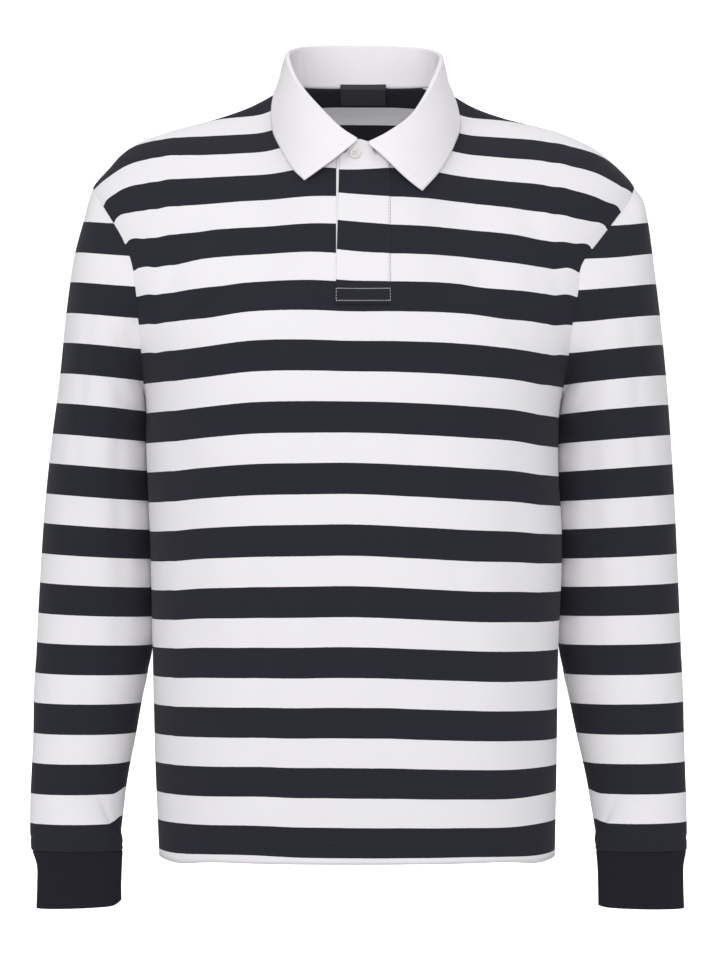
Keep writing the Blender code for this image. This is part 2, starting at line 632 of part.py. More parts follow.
def slit_cells(panel):
    """The narrow cells that the placket's slit removes, from its foot's row to the neck."""
    column = PLACKET_FIRST_COLUMN + 1
    first = TRUNK_ROWS + ARMHOLE_ROWS_UP // 2 + 1
    return {(row, column) for row in range(first, len(panel) - 1)}


def main():
    for old in list(bpy.data.objects):
        bpy.data.objects.remove(old, do_unlink=True)
    shirt = bpy.data.collections.new("Rugby polo")
    cutters = bpy.data.collections.new("Cutters")
    bpy.context.scene.collection.children.link(shirt)
    bpy.context.scene.collection.children.link(cutters)

    jersey = material("Striped jersey", (0.60, 0.59, 0.61), 0.85)
    navy_rib = material("Navy rib knit", (0.018, 0.020, 0.027), 0.9)
    white_cloth = material("White collar cloth", (0.80, 0.79, 0.82), 0.8)
    label_cloth = material("Navy label", (0.020, 0.020, 0.035), 0.6)
    pearl = material("Pale button", (0.70, 0.66, 0.64), 0.3)

    front = panel_grid(-1, front_columns())
    cloth("front", front, JERSEY, jersey, shirt, skip=slit_cells(front))
    cloth("back", panel_grid(1, panel_columns()), JERSEY, jersey, shirt, flip=True)
    for hand in ("left", "right"):
        flip = hand == "left"
        sleeve = sleeve_grid(hand)
        cloth("sleeve_" + hand, sleeve, JERSEY, jersey, shirt, closed=True, flip=flip)
        outer, inner = cuff_grids(hand)
        ribbed_tube("cuff_" + hand, outer, inner, navy_rib, shirt, flip)
    cloth("collar", collar_grid(), COLLAR_CLOTH, white_cloth, shirt, flip=True)

    under_lift = LAYER_GAP + UNDER_PLACKET_CLOTH
    under = strip_grid(front, (UNDER_EDGES[0],) * 2, UNDER_EDGES[1], under_lift)
    cloth("placket_under", under, UNDER_PLACKET_CLOTH, white_cloth, shirt)
    outer_lift = under_lift + LAYER_GAP + JERSEY
    outer_strip = with_tab(strip_grid(front, PLACKET_FREE_EDGE, PLACKET_SEWN_EDGE, outer_lift))
    beside_tab = {(len(outer_strip) - 2, 0), (len(outer_strip) - 2, len(PLACKET_COLUMNS))}
    cloth("placket", outer_strip, JERSEY, jersey, shirt, skip=beside_tab)
    cloth("label", label_grid(), LABEL_CLOTH, label_cloth, shirt)
    make_button(outer_strip, pearl, shirt, cutters)


main()
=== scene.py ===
import math

import bpy
import numpy as np
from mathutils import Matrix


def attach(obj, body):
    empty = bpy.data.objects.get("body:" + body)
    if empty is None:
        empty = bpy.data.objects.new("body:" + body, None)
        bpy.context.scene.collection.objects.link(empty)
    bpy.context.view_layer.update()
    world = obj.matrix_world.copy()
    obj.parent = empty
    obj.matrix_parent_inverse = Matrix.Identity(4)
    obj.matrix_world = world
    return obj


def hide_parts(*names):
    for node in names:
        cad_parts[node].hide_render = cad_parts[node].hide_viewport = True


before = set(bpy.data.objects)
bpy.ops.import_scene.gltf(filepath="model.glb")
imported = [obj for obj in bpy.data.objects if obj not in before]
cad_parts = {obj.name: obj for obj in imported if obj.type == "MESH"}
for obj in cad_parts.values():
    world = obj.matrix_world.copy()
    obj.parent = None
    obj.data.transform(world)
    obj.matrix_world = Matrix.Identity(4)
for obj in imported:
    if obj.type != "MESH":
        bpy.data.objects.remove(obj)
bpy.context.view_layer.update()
print("frame loaded:", len(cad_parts), "nodes")

# Sizes shared with the solids, in metres. Left and right are as seen from the front.
hem, armpit, shoulderTip, neckSide = -0.710, -0.275, -0.0765, 0.018
frontNeckDrop, backNeckRise = 0.068, 0.0065
neckX, neckHalfWidth, neckSpread, neckRowsStart = 0.0045, 0.078, 0.075, -0.200
seamGap = 0.0003
layerGap = 0.0001
jersey, underCloth = 0.0013, 0.0008


def readTable(columns, rows):
    return dict(zip(columns.split(), np.array(rows, float).T))


# Grows from 0 at start to 1 at end, and stays there
def ramp(value, start, end):
    return np.clip((value - start) / (end - start), 0, 1)


# 1 at the middle, falling off on both sides; a higher power gives a flatter top
def bell(away, width, power=2):
    return np.exp(-((away / width) ** power))


def asPoints(x, y, z):
    return np.stack(np.broadcast_arrays(x, y, z), axis=-1)


def unitVectors(v):
    return v / np.linalg.norm(v, axis=-1, keepdims=True)


# level cuts of the body: half widths, reach of front and back from the ridge, and the neck's bump
body = readTable("z left right front back ridge frontNeck backNeck", (
    (-0.710, 0.1893, 0.1865, 0.0980, 0.1040, 0.000, 0.000, 0.000),
    (-0.620, 0.1930, 0.1882, 0.1100, 0.1110, 0.000, 0.000, 0.000),
    (-0.520, 0.1953, 0.1895, 0.1190, 0.1170, 0.000, 0.000, 0.000),
    (-0.420, 0.1975, 0.1932, 0.1250, 0.1230, 0.000, 0.000, 0.000),
    (-0.320, 0.2018, 0.1898, 0.1285, 0.1290, 0.002, 0.000, 0.000),
    (-0.275, 0.2030, 0.1935, 0.1300, 0.1310, 0.004, 0.000, 0.000),
    (-0.230, 0.2190, 0.2130, 0.1300, 0.1290, 0.010, 0.000, 0.000),
    (-0.180, 0.2400, 0.2380, 0.1210, 0.1190, 0.017, 0.009, 0.003),
    (-0.130, 0.2520, 0.2560, 0.1020, 0.1020, 0.022, 0.017, 0.011),
    (-0.100, 0.2555, 0.2635, 0.0880, 0.0890, 0.024, 0.023, 0.018),
    (-0.0765, 0.2540, 0.2640, 0.0735, 0.0760, 0.025, 0.029, 0.025),
    (-0.057, 0.2377, 0.2475, 0.0585, 0.0610, 0.025, 0.037, 0.033),
    (-0.045, 0.2270, 0.2340, 0.0480, 0.0510, 0.025, 0.045, 0.040),
    (-0.033, 0.2090, 0.2140, 0.0355, 0.0390, 0.025, 0.056, 0.048),
    (-0.0225, 0.1800, 0.1880, 0.0250, 0.0280, 0.025, 0.066, 0.053),
    (-0.010, 0.1340, 0.1390, 0.0150, 0.0180, 0.025, 0.078, 0.057),
    (0.0005, 0.1045, 0.1100, 0.0090, 0.0110, 0.025, 0.086, 0.058),
    (0.0075, 0.0905, 0.0975, 0.0060, 0.0070, 0.025, 0.086, 0.056),
    (0.018, 0.0735, 0.0825, 0.0030, 0.0040, 0.025, 0.080, 0.051),
    (0.030, 0.0640, 0.0730, 0.0020, 0.0030, 0.025, 0.070, 0.044),
))
armhole = readTable("z left right", (
    (-0.2750, 0.2030, 0.1935),
    (-0.2400, 0.2036, 0.1970),
    (-0.2100, 0.2055, 0.2000),
    (-0.1800, 0.2080, 0.2053),
    (-0.1550, 0.2118, 0.2085),
    (-0.1310, 0.2209, 0.2263),
    (-0.1100, 0.2335, 0.2427),
    (-0.0920, 0.2450, 0.2560),
    (-0.0765, 0.2540, 0.2640),
))
sleeveRings = readTable(
    "ring outerZ innerZ leftOuter leftInner rightOuter rightInner deep middle armhole", (
        (0, -0.0765, -0.2750, 0.2540, 0.2030, 0.2640, 0.1935, 0.0680, 0.018, 1.00),
        (1, -0.0880, -0.2765, 0.2576, 0.2036, 0.2719, 0.1942, 0.0685, 0.018, 0.80),
        (2, -0.1070, -0.2790, 0.2623, 0.2030, 0.2764, 0.1938, 0.0690, 0.018, 0.50),
        (3, -0.1460, -0.2840, 0.2719, 0.2015, 0.2815, 0.1922, 0.0700, 0.018, 0.20),
        (4, -0.2000, -0.2930, 0.2793, 0.2008, 0.2880, 0.1905, 0.0700, 0.020, 0.00),
        (5, -0.2600, -0.3100, 0.2858, 0.2003, 0.2945, 0.1889, 0.0670, 0.024, 0.00),
        (6, -0.3250, -0.3400, 0.2947, 0.1998, 0.2998, 0.1890, 0.0620, 0.029, 0.00),
        (7, -0.3900, -0.3900, 0.3016, 0.1970, 0.3040, 0.1897, 0.0560, 0.033, 0.00),
        (8, -0.4600, -0.4600, 0.3062, 0.1940, 0.3072, 0.1900, 0.0510, 0.034, 0.00),
        (9, -0.5200, -0.5200, 0.3091, 0.1975, 0.3096, 0.1920, 0.0465, 0.032, 0.00),
        (10, -0.5600, -0.5600, 0.3110, 0.2062, 0.3110, 0.2008, 0.0430, 0.028, 0.00),
        (11, -0.6000, -0.6000, 0.3114, 0.2130, 0.3117, 0.2088, 0.0390, 0.024, 0.00),
        (12, -0.6500, -0.6500, 0.3133, 0.2219, 0.3130, 0.2193, 0.0330, 0.018, 0.00),
        (13, -0.6900, -0.6900, 0.3133, 0.2246, 0.3133, 0.2241, 0.0270, 0.013, 0.00),
        (14, -0.7085, -0.7085, 0.3120, 0.2244, 0.3130, 0.2258, 0.0225, 0.010, 0.00),
    ))
cuffRings = readTable("z leftOuter leftInner rightOuter rightInner deep middle", (
    (-0.7635, 0.3068, 0.2256, 0.3102, 0.2282, 0.0185, 0.007),
    (-0.7420, 0.3062, 0.2258, 0.3096, 0.2280, 0.0180, 0.008),
    (-0.7220, 0.3068, 0.2252, 0.3100, 0.2274, 0.0190, 0.009),
    (-0.7090, 0.3110, 0.2246, 0.3125, 0.2262, 0.0215, 0.010),
))
collarRows = readTable("along foldX foldY foldZ edgeX edgeZ lift", (
    (-1.00, -0.0010, -0.0790, -0.0398, -0.0492, -0.0796, 0.0034),
    (-0.90, -0.0171, -0.0760, -0.0286, -0.0605, -0.0670, 0.0034),
    (-0.80, -0.0363, -0.0630, -0.0083, -0.0716, -0.0465, 0.0034),
    (-0.70, -0.0510, -0.0450, 0.0097, -0.0785, -0.0299, 0.0042),
    (-0.60, -0.0607, -0.0270, 0.0260, -0.0800, -0.0100, 0.0046),
    (-0.50, -0.0668, -0.0020, 0.0440, -0.0780, 0.0150, 0.0046),
    (-0.35, -0.0655, 0.0330, 0.0570, -0.0760, 0.0095, 0.0040),
    (-0.20, -0.0480, 0.0650, 0.0650, -0.0600, 0.0100, 0.0034),
    (0.00, 0.0047, 0.0830, 0.0680, 0.0047, 0.0110, 0.0034),
    (0.20, 0.0590, 0.0650, 0.0635, 0.0710, 0.0095, 0.0034),
    (0.35, 0.0760, 0.0330, 0.0550, 0.0850, 0.0085, 0.0040),
    (0.50, 0.0780, -0.0020, 0.0420, 0.0872, 0.0140, 0.0046),
    (0.60, 0.0724, -0.0270, 0.0260, 0.0930, -0.0090, 0.0046),
    (0.70, 0.0620, -0.0450, 0.0040, 0.0945, -0.0260, 0.0042),
    (0.80, 0.0480, -0.0630, -0.0170, 0.0865, -0.0480, 0.0034),
    (0.90, 0.0270, -0.0760, -0.0335, 0.0750, -0.0690, 0.0034),
    (1.00, 0.0090, -0.0790, -0.0430, 0.0583, -0.0897, 0.0034),
))

# Soft troughs in the panels, from (x, z) to (endX, endZ); side -1 is the front. The first eleven
# are the solids' own, the rest are shallow ones of the surface.
bodyFolds = readTable("side x z endX endZ width depth", (
    (-1, -0.202, -0.268, -0.125, -0.190, 0.014, 0.0040),
    (-1, -0.196, -0.215, -0.150, -0.125, 0.012, 0.0028),
    (-1, -0.168, -0.310, -0.150, -0.500, 0.020, 0.0030),
    (-1, 0.190, -0.262, 0.112, -0.176, 0.015, 0.0045),
    (-1, 0.196, -0.205, 0.160, -0.110, 0.012, 0.0030),
    (-1, 0.150, -0.360, 0.162, -0.610, 0.021, 0.0035),
    (1, -0.196, -0.268, -0.098, -0.195, 0.016, 0.0050),
    (1, 0.188, -0.262, 0.085, -0.180, 0.017, 0.0050),
    (1, -0.088, -0.310, -0.100, -0.600, 0.025, 0.0050),
    (1, 0.078, -0.270, 0.104, -0.570, 0.022, 0.0055),
    (1, 0.012, -0.430, -0.012, -0.690, 0.030, 0.0040),
    (-1, -0.190, -0.295, -0.152, -0.345, 0.009, 0.0014),
    (-1, -0.185, -0.236, -0.172, -0.150, 0.007, 0.0012),
    (-1, -0.100, -0.420, -0.086, -0.640, 0.015, 0.0019),
    (-1, -0.030, -0.500, -0.040, -0.690, 0.018, 0.0017),
    (-1, 0.182, -0.290, 0.150, -0.330, 0.009, 0.0015),
    (-1, 0.176, -0.228, 0.158, -0.140, 0.008, 0.0013),
    (-1, 0.090, -0.440, 0.098, -0.560, 0.015, 0.0015),
    (-1, 0.060, -0.300, 0.045, -0.360, 0.014, 0.0012),
    (-1, 0.030, -0.560, 0.046, -0.700, 0.017, 0.0018),
    (-1, 0.172, -0.560, 0.160, -0.700, 0.012, 0.0013),
    (-1, -0.172, -0.590, -0.166, -0.700, 0.011, 0.0012),
    (1, -0.188, -0.300, -0.140, -0.360, 0.010, 0.0018),
    (1, 0.182, -0.296, 0.132, -0.345, 0.011, 0.0017),
    (1, -0.150, -0.240, -0.120, -0.130, 0.013, 0.0018),
    (1, 0.140, -0.232, 0.118, -0.120, 0.012, 0.0020),
    (1, -0.030, -0.120, -0.046, -0.250, 0.018, 0.0016),
    (1, 0.045, -0.100, 0.058, -0.220, 0.016, 0.0014),
    (1, -0.150, -0.420, -0.158, -0.640, 0.014, 0.0016),
    (1, 0.150, -0.380, 0.160, -0.600, 0.015, 0.0015),
    (1, 0.052, -0.600, 0.060, -0.700, 0.014, 0.0014),
))
# soft troughs in the sleeves; angle goes round from the outer end by way of the front
sleeveFolds = readTable("ring angle ringSpread angleSpread slope depth", (
    (4.6, 2.5, 0.40, 0.8, 0.5, 0.050),
    (7.4, 3.6, 0.35, 0.9, -0.4, 0.060),
    (8.5, 4.3, 0.30, 0.8, -0.5, 0.070),
    (12.5, 2.4, 0.30, 0.8, 0.3, 0.060),
    (12.2, 5.0, 0.35, 0.9, -0.3, 0.050),
    (2.9, 2.0, 0.35, 0.6, 0.5, 0.014),
    (5.6, 2.2, 0.30, 0.6, 0.6, 0.012),
    (6.4, 4.9, 0.30, 0.8, -0.4, 0.022),
    (9.3, 3.3, 0.24, 0.7, -0.4, 0.018),
    (10.3, 2.1, 0.26, 0.6, 0.3, 0.012),
    (11.2, 4.2, 0.28, 0.7, -0.4, 0.026),
    (13.1, 3.3, 0.22, 0.6, 0.4, 0.030),
    (13.4, 0.9, 0.20, 0.5, -0.2, 0.012),
    (13.3, 5.4, 0.22, 0.6, 0.3, 0.020),
    (12.7, 2.50, 0.13, 1.6, 1.5, 0.040),
    (12.9, 0.72, 0.12, 1.2, -0.6, 0.022),
    (5.2, 1.16, 2.60, 0.14, 0.0, 0.030),
    (6.6, 2.05, 2.20, 0.16, 0.0, 0.034),
    (9.6, 1.55, 1.90, 0.15, 0.0, 0.028),
    (6.0, 4.10, 2.80, 0.18, 0.0, 0.040),
    (9.0, 5.20, 2.20, 0.16, 0.0, 0.032),
))


def smoothCurve(xs, ys, at):
    # cubic through the points with the neighbours' slopes; ys may hold a whole row for each x
    slopes = np.gradient(ys, xs, axis=0)
    at = np.clip(at, xs[0], xs[-1])
    i = np.clip(np.searchsorted(xs, at) - 1, 0, len(xs) - 2)
    step = xs[i + 1] - xs[i]
    t = (at - xs[i]) / step
    if ys.ndim > 1:
        step, t = step[..., None], t[..., None]
    ends = ys[i] * (1 + 2 * t) * (1 - t) ** 2 + ys[i + 1] * t * t * (3 - 2 * t)
    return ends + step * t * (1 - t) * (slopes[i] * (1 - t) - slopes[i + 1] * t)


def follow(rows, column, at, key="z"):
    return smoothCurve(rows[key], rows[column], at)


def byHand(rows, x, z):
    return np.where(x < 0, follow(rows, "left", z), follow(rows, "right", z))


# Sum of the troughs: depth times exp(-(distance from the trough's line / width) squared)
def foldDepth(x, z, side):
    total = np.zeros(np.broadcast(x, z).shape)
    for i in np.flatnonzero(bodyFolds["side"] == side):
        f = {key: values[i] for key, values in bodyFolds.items()}
        runX, runZ = f["endX"] - f["x"], f["endZ"] - f["z"]
        share = ((x - f["x"]) * runX + (z - f["z"]) * runZ) / (runX**2 + runZ**2)
        near = np.clip(share, 0, 1)
        away = np.hypot(x - f["x"] - near * runX, z - f["z"] - near * runZ)
        total += f["depth"] * bell(away, f["width"])
    return total


# Depth of the cloth at (x, z): ridge plus reach times sqrt(1 - (x / half width)^2.6)
def bodyY(x, z, side, widest=1.0):
    face = "front" if side < 0 else "back"
    ratio = np.clip(np.abs(x) / byHand(body, x, z), 0, widest)
    share = np.sqrt(1 - ratio**2.6)
    nearNeck = bell(x - neckX, neckSpread, 4)
    reach = follow(body, face, z) + follow(body, face + "Neck", z) * nearNeck
    return follow(body, "ridge", z) + side * share * (reach - foldDepth(x, z, side))


# A point lifted off the body's surface along its own normal
def bodyPoint(x, z, side, lift):
    limit = 0.97 * byHand(body, x, z)
    x = np.clip(x, -limit, limit)
    nudge = 0.0004
    slopeX = (bodyY(x + nudge, z, side) - bodyY(x - nudge, z, side)) / (2 * nudge)
    slopeZ = (bodyY(x, z + nudge, side) - bodyY(x, z - nudge, side)) / (2 * nudge)
    normal = unitVectors(asPoints(-side * slopeX, side, -side * slopeZ))
    return asPoints(x, bodyY(x, z, side), z) + lift * normal


def armholeX(x, z, side):
    seam, full = byHand(armhole, x, z), byHand(body, x, z)
    return np.minimum(seam + (0.3 * (full - seam) if side > 0 else 0), full)


def neckCurve(u, side):
    change = -frontNeckDrop if side < 0 else backNeckRise
    rise = change * np.clip(np.cos(u * math.pi / 2), 0, 1) ** 1.1
    return neckX + neckHalfWidth * np.sin(u * math.pi / 2), neckSide + rise


def armholeZ(angle):
    return (shoulderTip + armpit) / 2 + (shoulderTip - armpit) / 2 * np.cos(angle)


# Rows start level with edgeZ at the side and bend to the neck curve; u runs from -1 to 1
def panelPoint(u, edgeZ, side):
    u, edgeZ = np.broadcast_arrays(u, edgeZ)
    inArmhole = (edgeZ > armpit) & (edgeZ < shoulderTip)
    share = np.where(inArmhole, armholeX(u, edgeZ, side) / byHand(body, u, edgeZ), 1)
    neckShare = ramp(edgeZ, neckRowsStart, neckSide)
    nx, nz = neckCurve(u, side)
    neckAngle = np.arcsin(np.clip(nx / byHand(body, nx, nz), -1, 1))
    z = edgeZ + (nz - neckSide) * neckShare
    angle = u * math.pi / 2 + (neckAngle - u * math.pi / 2) * neckShare
    x = share * byHand(body, angle, z) * np.sin(angle)
    return asPoints(x, bodyY(x, z, side) + side * seamGap / 2, z)


def sleeveFold(ring, angle):
    total = np.zeros(np.broadcast(ring, angle).shape)
    for i in range(len(sleeveFolds["ring"])):
        f = {key: values[i] for key, values in sleeveFolds.items()}
        turn = (angle - f["angle"] + math.pi) % (2 * math.pi) - math.pi
        rise = ring - f["ring"] - f["slope"] * turn
        total += f["depth"] * bell(turn, f["angleSpread"]) * bell(rise, f["ringSpread"])
    return total


# Oval ring: outer end at angle 0, front at a quarter turn, inner end at a half
def ringPoint(rows, key, hand, at, angle, z):
    outer, inner = (follow(rows, hand + end, at, key) for end in ("Outer", "Inner"))
    sign = -1 if hand == "left" else 1
    x = sign * ((outer + inner) / 2 + (outer - inner) / 2 * np.cos(angle))
    y = follow(rows, "middle", at, key) - follow(rows, "deep", at, key) * np.sin(angle)
    return asPoints(x, y, z)


def bareSleevePoint(hand, ring, angle):
    outerZ = follow(sleeveRings, "outerZ", ring, "ring")
    innerZ = follow(sleeveRings, "innerZ", ring, "ring")
    z = (outerZ + innerZ) / 2 + (outerZ - innerZ) / 2 * np.cos(angle)
    points = ringPoint(sleeveRings, "ring", hand, ring, angle, z)
    opposite = ringPoint(sleeveRings, "ring", hand, ring, angle + math.pi, outerZ + innerZ - z)
    centre = (points + opposite) / 2
    return points - (points - centre) * sleeveFold(ring, angle)[..., None]


# Rings that start on the armhole seam's own loop and ease into level ovals
def sleevePoint(hand, ring, angle):
    ring, angle = np.broadcast_arrays(np.asarray(ring, float), angle)
    z = armholeZ(angle)
    sign = -1 if hand == "left" else 1
    isFront = np.sin(angle) > 0
    x = sign * np.where(isFront, armholeX(sign, z, -1), armholeX(sign, z, 1))
    loop = asPoints(x, np.where(isFront, bodyY(x, z, -1), bodyY(x, z, 1)), z)
    keep = follow(sleeveRings, "armhole", ring, "ring")[..., None]
    return bareSleevePoint(hand, ring, angle) + keep * (loop - bareSleevePoint(hand, 0 * ring, angle))


# cloth coordinates: how far up the cloth each point lies, for stripes and knit
fieldX = np.linspace(-0.275, 0.275, 221)
fieldZ = np.linspace(hem, 0.036, 374)


# Length of cloth up a vertical line from the hem: running sum of sqrt(dy^2 + dz^2)
def clothField(side):
    x, z = np.meshgrid(fieldX, fieldZ)
    widest = np.interp(z, (-0.15, -0.09), (0.9, 1.0))
    y = bodyY(x, z, side, widest)
    steps = np.hypot(np.diff(y, axis=0), np.diff(z, axis=0))
    return np.concatenate((np.zeros((1, len(fieldX))), np.cumsum(steps, axis=0)))


# Bilinear reading of a field laid out on fieldX and fieldZ
def readField(field, x, z):
    i = np.clip((x - fieldX[0]) / (fieldX[1] - fieldX[0]), 0, len(fieldX) - 1.001)
    j = np.clip((z - fieldZ[0]) / (fieldZ[1] - fieldZ[0]), 0, len(fieldZ) - 1.001)
    i0, j0 = i.astype(int), j.astype(int)
    fi, fj = i - i0, j - j0
    low = field[j0, i0] * (1 - fi) + field[j0, i0 + 1] * fi
    high = field[j0 + 1, i0] * (1 - fi) + field[j0 + 1, i0 + 1] * fi
    return low * (1 - fj) + high * fj


stripePeriod = 0.0561
hemBand = 0.0070    # white cloth under the last dark stripe
# How far the stripes hang below the level of the cloth, in millimetres, by height and by place
# across the shirt. The sides hang lowest, most at the wearer's left shoulder.
sagPlaces = np.array((-0.250, -0.230, -0.185, -0.145, -0.100, -0.045, -0.012,
                      0.045, 0.100, 0.145, 0.180, 0.225, 0.250))
sagColumns = "z tip far side outer middle inner centre innerR middleR outerR sideR farR tipR"
frontSag = readTable(sagColumns, (
    (-0.705, 1.0, 1.0, 1.0, 0.0, -1.0, 0.7, 0.8, 1.0, 1.0, 2.3, 2.2, 2.2, 2.2),
    (-0.650, 2.7, 2.7, 2.7, 1.6, 0.0, 0.7, 0.7, 1.5, 2.8, 4.3, 3.0, 3.0, 3.0),
    (-0.600, 3.7, 3.7, 3.7, 2.3, 1.2, 1.1, 0.8, 1.8, 4.2, 6.6, 8.7, 9.0, 9.0),
    (-0.540, 5.6, 5.6, 5.6, 3.2, 2.2, 1.7, 1.2, 2.3, 5.2, 7.6, 8.8, 9.0, 9.0),
    (-0.460, 9.2, 9.2, 9.0, 5.1, 3.2, 1.9, 1.4, 3.3, 6.8, 8.5, 10.5, 11.0, 11.0),
    (-0.375, 10.5, 10.5, 10.2, 5.9, 2.8, 1.5, 1.1, 3.2, 6.5, 9.3, 13.5, 14.5, 14.5),
    (-0.295, 11.0, 11.0, 10.5, 6.6, 2.5, 1.3, 1.4, 2.7, 5.8, 9.3, 14.5, 15.0, 15.0),
    (-0.240, 11.0, 11.0, 10.5, 7.0, 1.7, 0.5, 1.5, 2.1, 5.0, 9.0, 12.5, 13.5, 13.5),
    (-0.183, 12.5, 12.5, 12.6, 7.6, 1.3, 0.6, 2.35, 2.1, 3.6, 10.0, 12.3, 13.0, 13.0),
    (-0.157, 14.0, 14.0, 14.0, 6.2, 0.7, 0.4, 2.8, 2.4, 3.7, 11.0, 15.0, 17.5, 17.5),
    (-0.130, 16.0, 16.0, 12.6, 4.9, 0.0, 0.1, 1.9, 2.4, 3.2, 10.0, 16.5, 22.0, 22.0),
    (-0.100, 28.0, 20.0, 10.5, 4.6, -1.6, 0.2, 1.5, 1.8, 1.6, 9.5, 15.7, 28.0, 30.5),
    (-0.075, 31.0, 21.5, 8.5, 2.2, -3.3, -0.9, 1.7, 0.5, -0.3, 8.2, 14.3, 28.0, 36.0),
    (-0.050, 29.0, 20.0, 5.0, 0.3, -5.2, -3.5, 0.0, -1.5, -2.3, 5.8, 11.8, 27.0, 31.0),
    (-0.030, 31.0, 22.0, 7.5, 1.0, -5.4, -3.5, -0.2, -2.0, -2.4, 5.0, 12.0, 28.0, 32.0),
    (-0.015, 31.0, 22.0, 7.5, 1.0, -3.2, -3.5, -0.2, -2.0, -0.3, 5.0, 12.0, 28.0, 32.0),
))
backSag = readTable(sagColumns, (
    (-0.705, 1.5, 1.5, 1.3, 0.8, 0.3, 0.0, 0.0, 0.0, 0.4, 1.0, 1.8, 2.0, 2.0),
    (-0.540, 5.6, 5.6, 5.2, 3.6, 2.0, 0.8, 0.5, 1.0, 2.8, 5.0, 7.6, 8.0, 8.0),
    (-0.400, 10.0, 10.0, 9.0, 6.0, 3.4, 1.4, 0.5, 1.6, 4.4, 7.6, 11.0, 12.5, 12.5),
    (-0.295, 11.0, 11.0, 10.0, 6.6, 3.6, 1.4, 0.5, 1.8, 5.0, 8.6, 13.0, 14.5, 14.5),
    (-0.240, 11.0, 11.0, 10.0, 6.8, 3.2, 1.2, 0.5, 1.6, 4.6, 8.6, 12.3, 13.5, 13.5),
    (-0.183, 12.5, 12.5, 11.5, 6.8, 2.2, 0.6, 0.0, 1.0, 3.8, 8.8, 12.3, 13.5, 13.5),
    (-0.157, 14.0, 14.0, 12.0, 6.2, 1.8, 0.2, -0.4, 0.6, 3.4, 9.0, 14.0, 17.5, 17.5),
    (-0.130, 16.0, 16.0, 12.0, 5.2, 1.2, -0.2, -0.8, 0.2, 3.0, 9.0, 15.5, 22.0, 22.0),
    (-0.100, 28.0, 20.0, 10.5, 4.6, 0.5, -0.6, -1.2, -0.2, 2.2, 8.8, 15.7, 28.0, 30.5),
    (-0.075, 31.0, 21.5, 8.5, 2.6, -0.8, -1.0, -1.6, -0.4, 1.2, 8.2, 14.3, 28.0, 36.0),
    (-0.050, 29.0, 20.0, 5.0, 0.6, -2.6, -1.3, -2.0, -0.8, 0.0, 6.0, 11.8, 27.0, 31.0),
    (-0.030, 31.0, 22.0, 7.5, 1.0, -4.0, -1.4, -2.0, -1.0, -1.2, 5.0, 12.0, 28.0, 32.0),
    (-0.008, 31.0, 22.0, 7.5, 1.0, -3.2, -1.6, -2.0, -1.4, -0.3, 5.0, 12.0, 28.0, 32.0),
    (0.008, 31.0, 22.0, 7.5, 4.0, 5.0, 5.8, 5.8, 5.8, 6.0, 8.0, 12.0, 28.0, 32.0),
    (0.030, 31.0, 22.0, 8.0, 8.0, 8.0, 8.0, 8.0, 8.0, 8.0, 8.0, 12.0, 28.0, 32.0),
))


# The sag table drawn out over the field, smooth up its columns and then across them
def sagField(rows):
    upwards = np.stack([follow(rows, name, fieldZ) for name in rows if name != "z"])
    return smoothCurve(sagPlaces, upwards, fieldX).T / 1000


stripeFields = {-1: clothField(-1) + sagField(frontSag), 1: clothField(1) + sagField(backSag)}


def stripeHeight(x, z, side):
    return readField(stripeFields[side], x, z)


# Distance along a grid's rows or columns, measured from their start
def runLength(points, axis):
    steps = np.linalg.norm(np.diff(points, axis=axis), axis=-1)
    return np.insert(np.cumsum(steps, axis=axis), 0, 0, axis=axis)


# materials
def newMaterial(name, colour, roughness, sheen):
    made = bpy.data.materials.new(name)
    made.use_nodes = True
    shader = made.node_tree.nodes["Principled BSDF"]
    shader.inputs["Base Color"].default_value = (*colour, 1)
    shader.inputs["Roughness"].default_value = roughness
    shader.inputs["Specular IOR Level"].default_value = 0.25
    shader.inputs["Sheen Weight"].default_value = sheen
    shader.inputs["Sheen Roughness"].default_value = 0.5
    return made, made.node_tree, shader


# A node with its settings; each socket takes a number, a colour or another node's output
def addNode(tree, kind, sockets=(), **settings):
    node = tree.nodes.new("ShaderNode" + kind)
    for key, value in settings.items():
        setattr(node, key, value)
    for key, value in dict(sockets).items():
        if isinstance(value, bpy.types.NodeSocket):
            tree.links.new(value, node.inputs[key])
        else:
            node.inputs[key].default_value = value
    return node


def addMath(tree, operation, *values):
    return addNode(tree, "Math", dict(enumerate(values)), operation=operation).outputs[0]


# Across and up the cloth, in metres
def clothUv(tree):
    uv = addNode(tree, "UVMap", uv_map="cloth")
    parts = addNode(tree, "SeparateXYZ", {0: uv.outputs[0]})
    return parts.outputs[0], parts.outputs[1]


# Half of 1 + sin(2 pi value / period + phase)
def wave(tree, value, period, phase=0.0):
    turned = addMath(tree, "MULTIPLY_ADD", value, 2 * math.pi / period, phase)
    return addMath(tree, "MULTIPLY_ADD", addMath(tree, "SINE", turned), 0.5, 0.5)


def mixColour(tree, factor, a, b):
    node = tree.nodes.new("ShaderNodeMix")
    node.data_type = "RGBA"
    for socket, value in zip((node.inputs[0], node.inputs[6], node.inputs[7]), (factor, a, b)):
        if isinstance(value, bpy.types.NodeSocket):
            tree.links.new(value, socket)
        elif isinstance(value, tuple):
            socket.default_value = (*value, 1)
        else:
            socket.default_value = value
    return node.outputs[2]


def objectNoise(tree, scale, detail=2.0):
    place = addNode(tree, "TexCoord").outputs["Object"]
    noise = addNode(tree, "TexNoise", {"Vector": place, "Scale": scale, "Detail": detail})
    return noise.outputs["Fac"]


def scaled(share, colour):
    return tuple(share * c for c in colour)


def setTint(tree, shader, factor, a, b):
    tree.links.new(mixColour(tree, factor, a, b), shader.inputs["Base Color"])


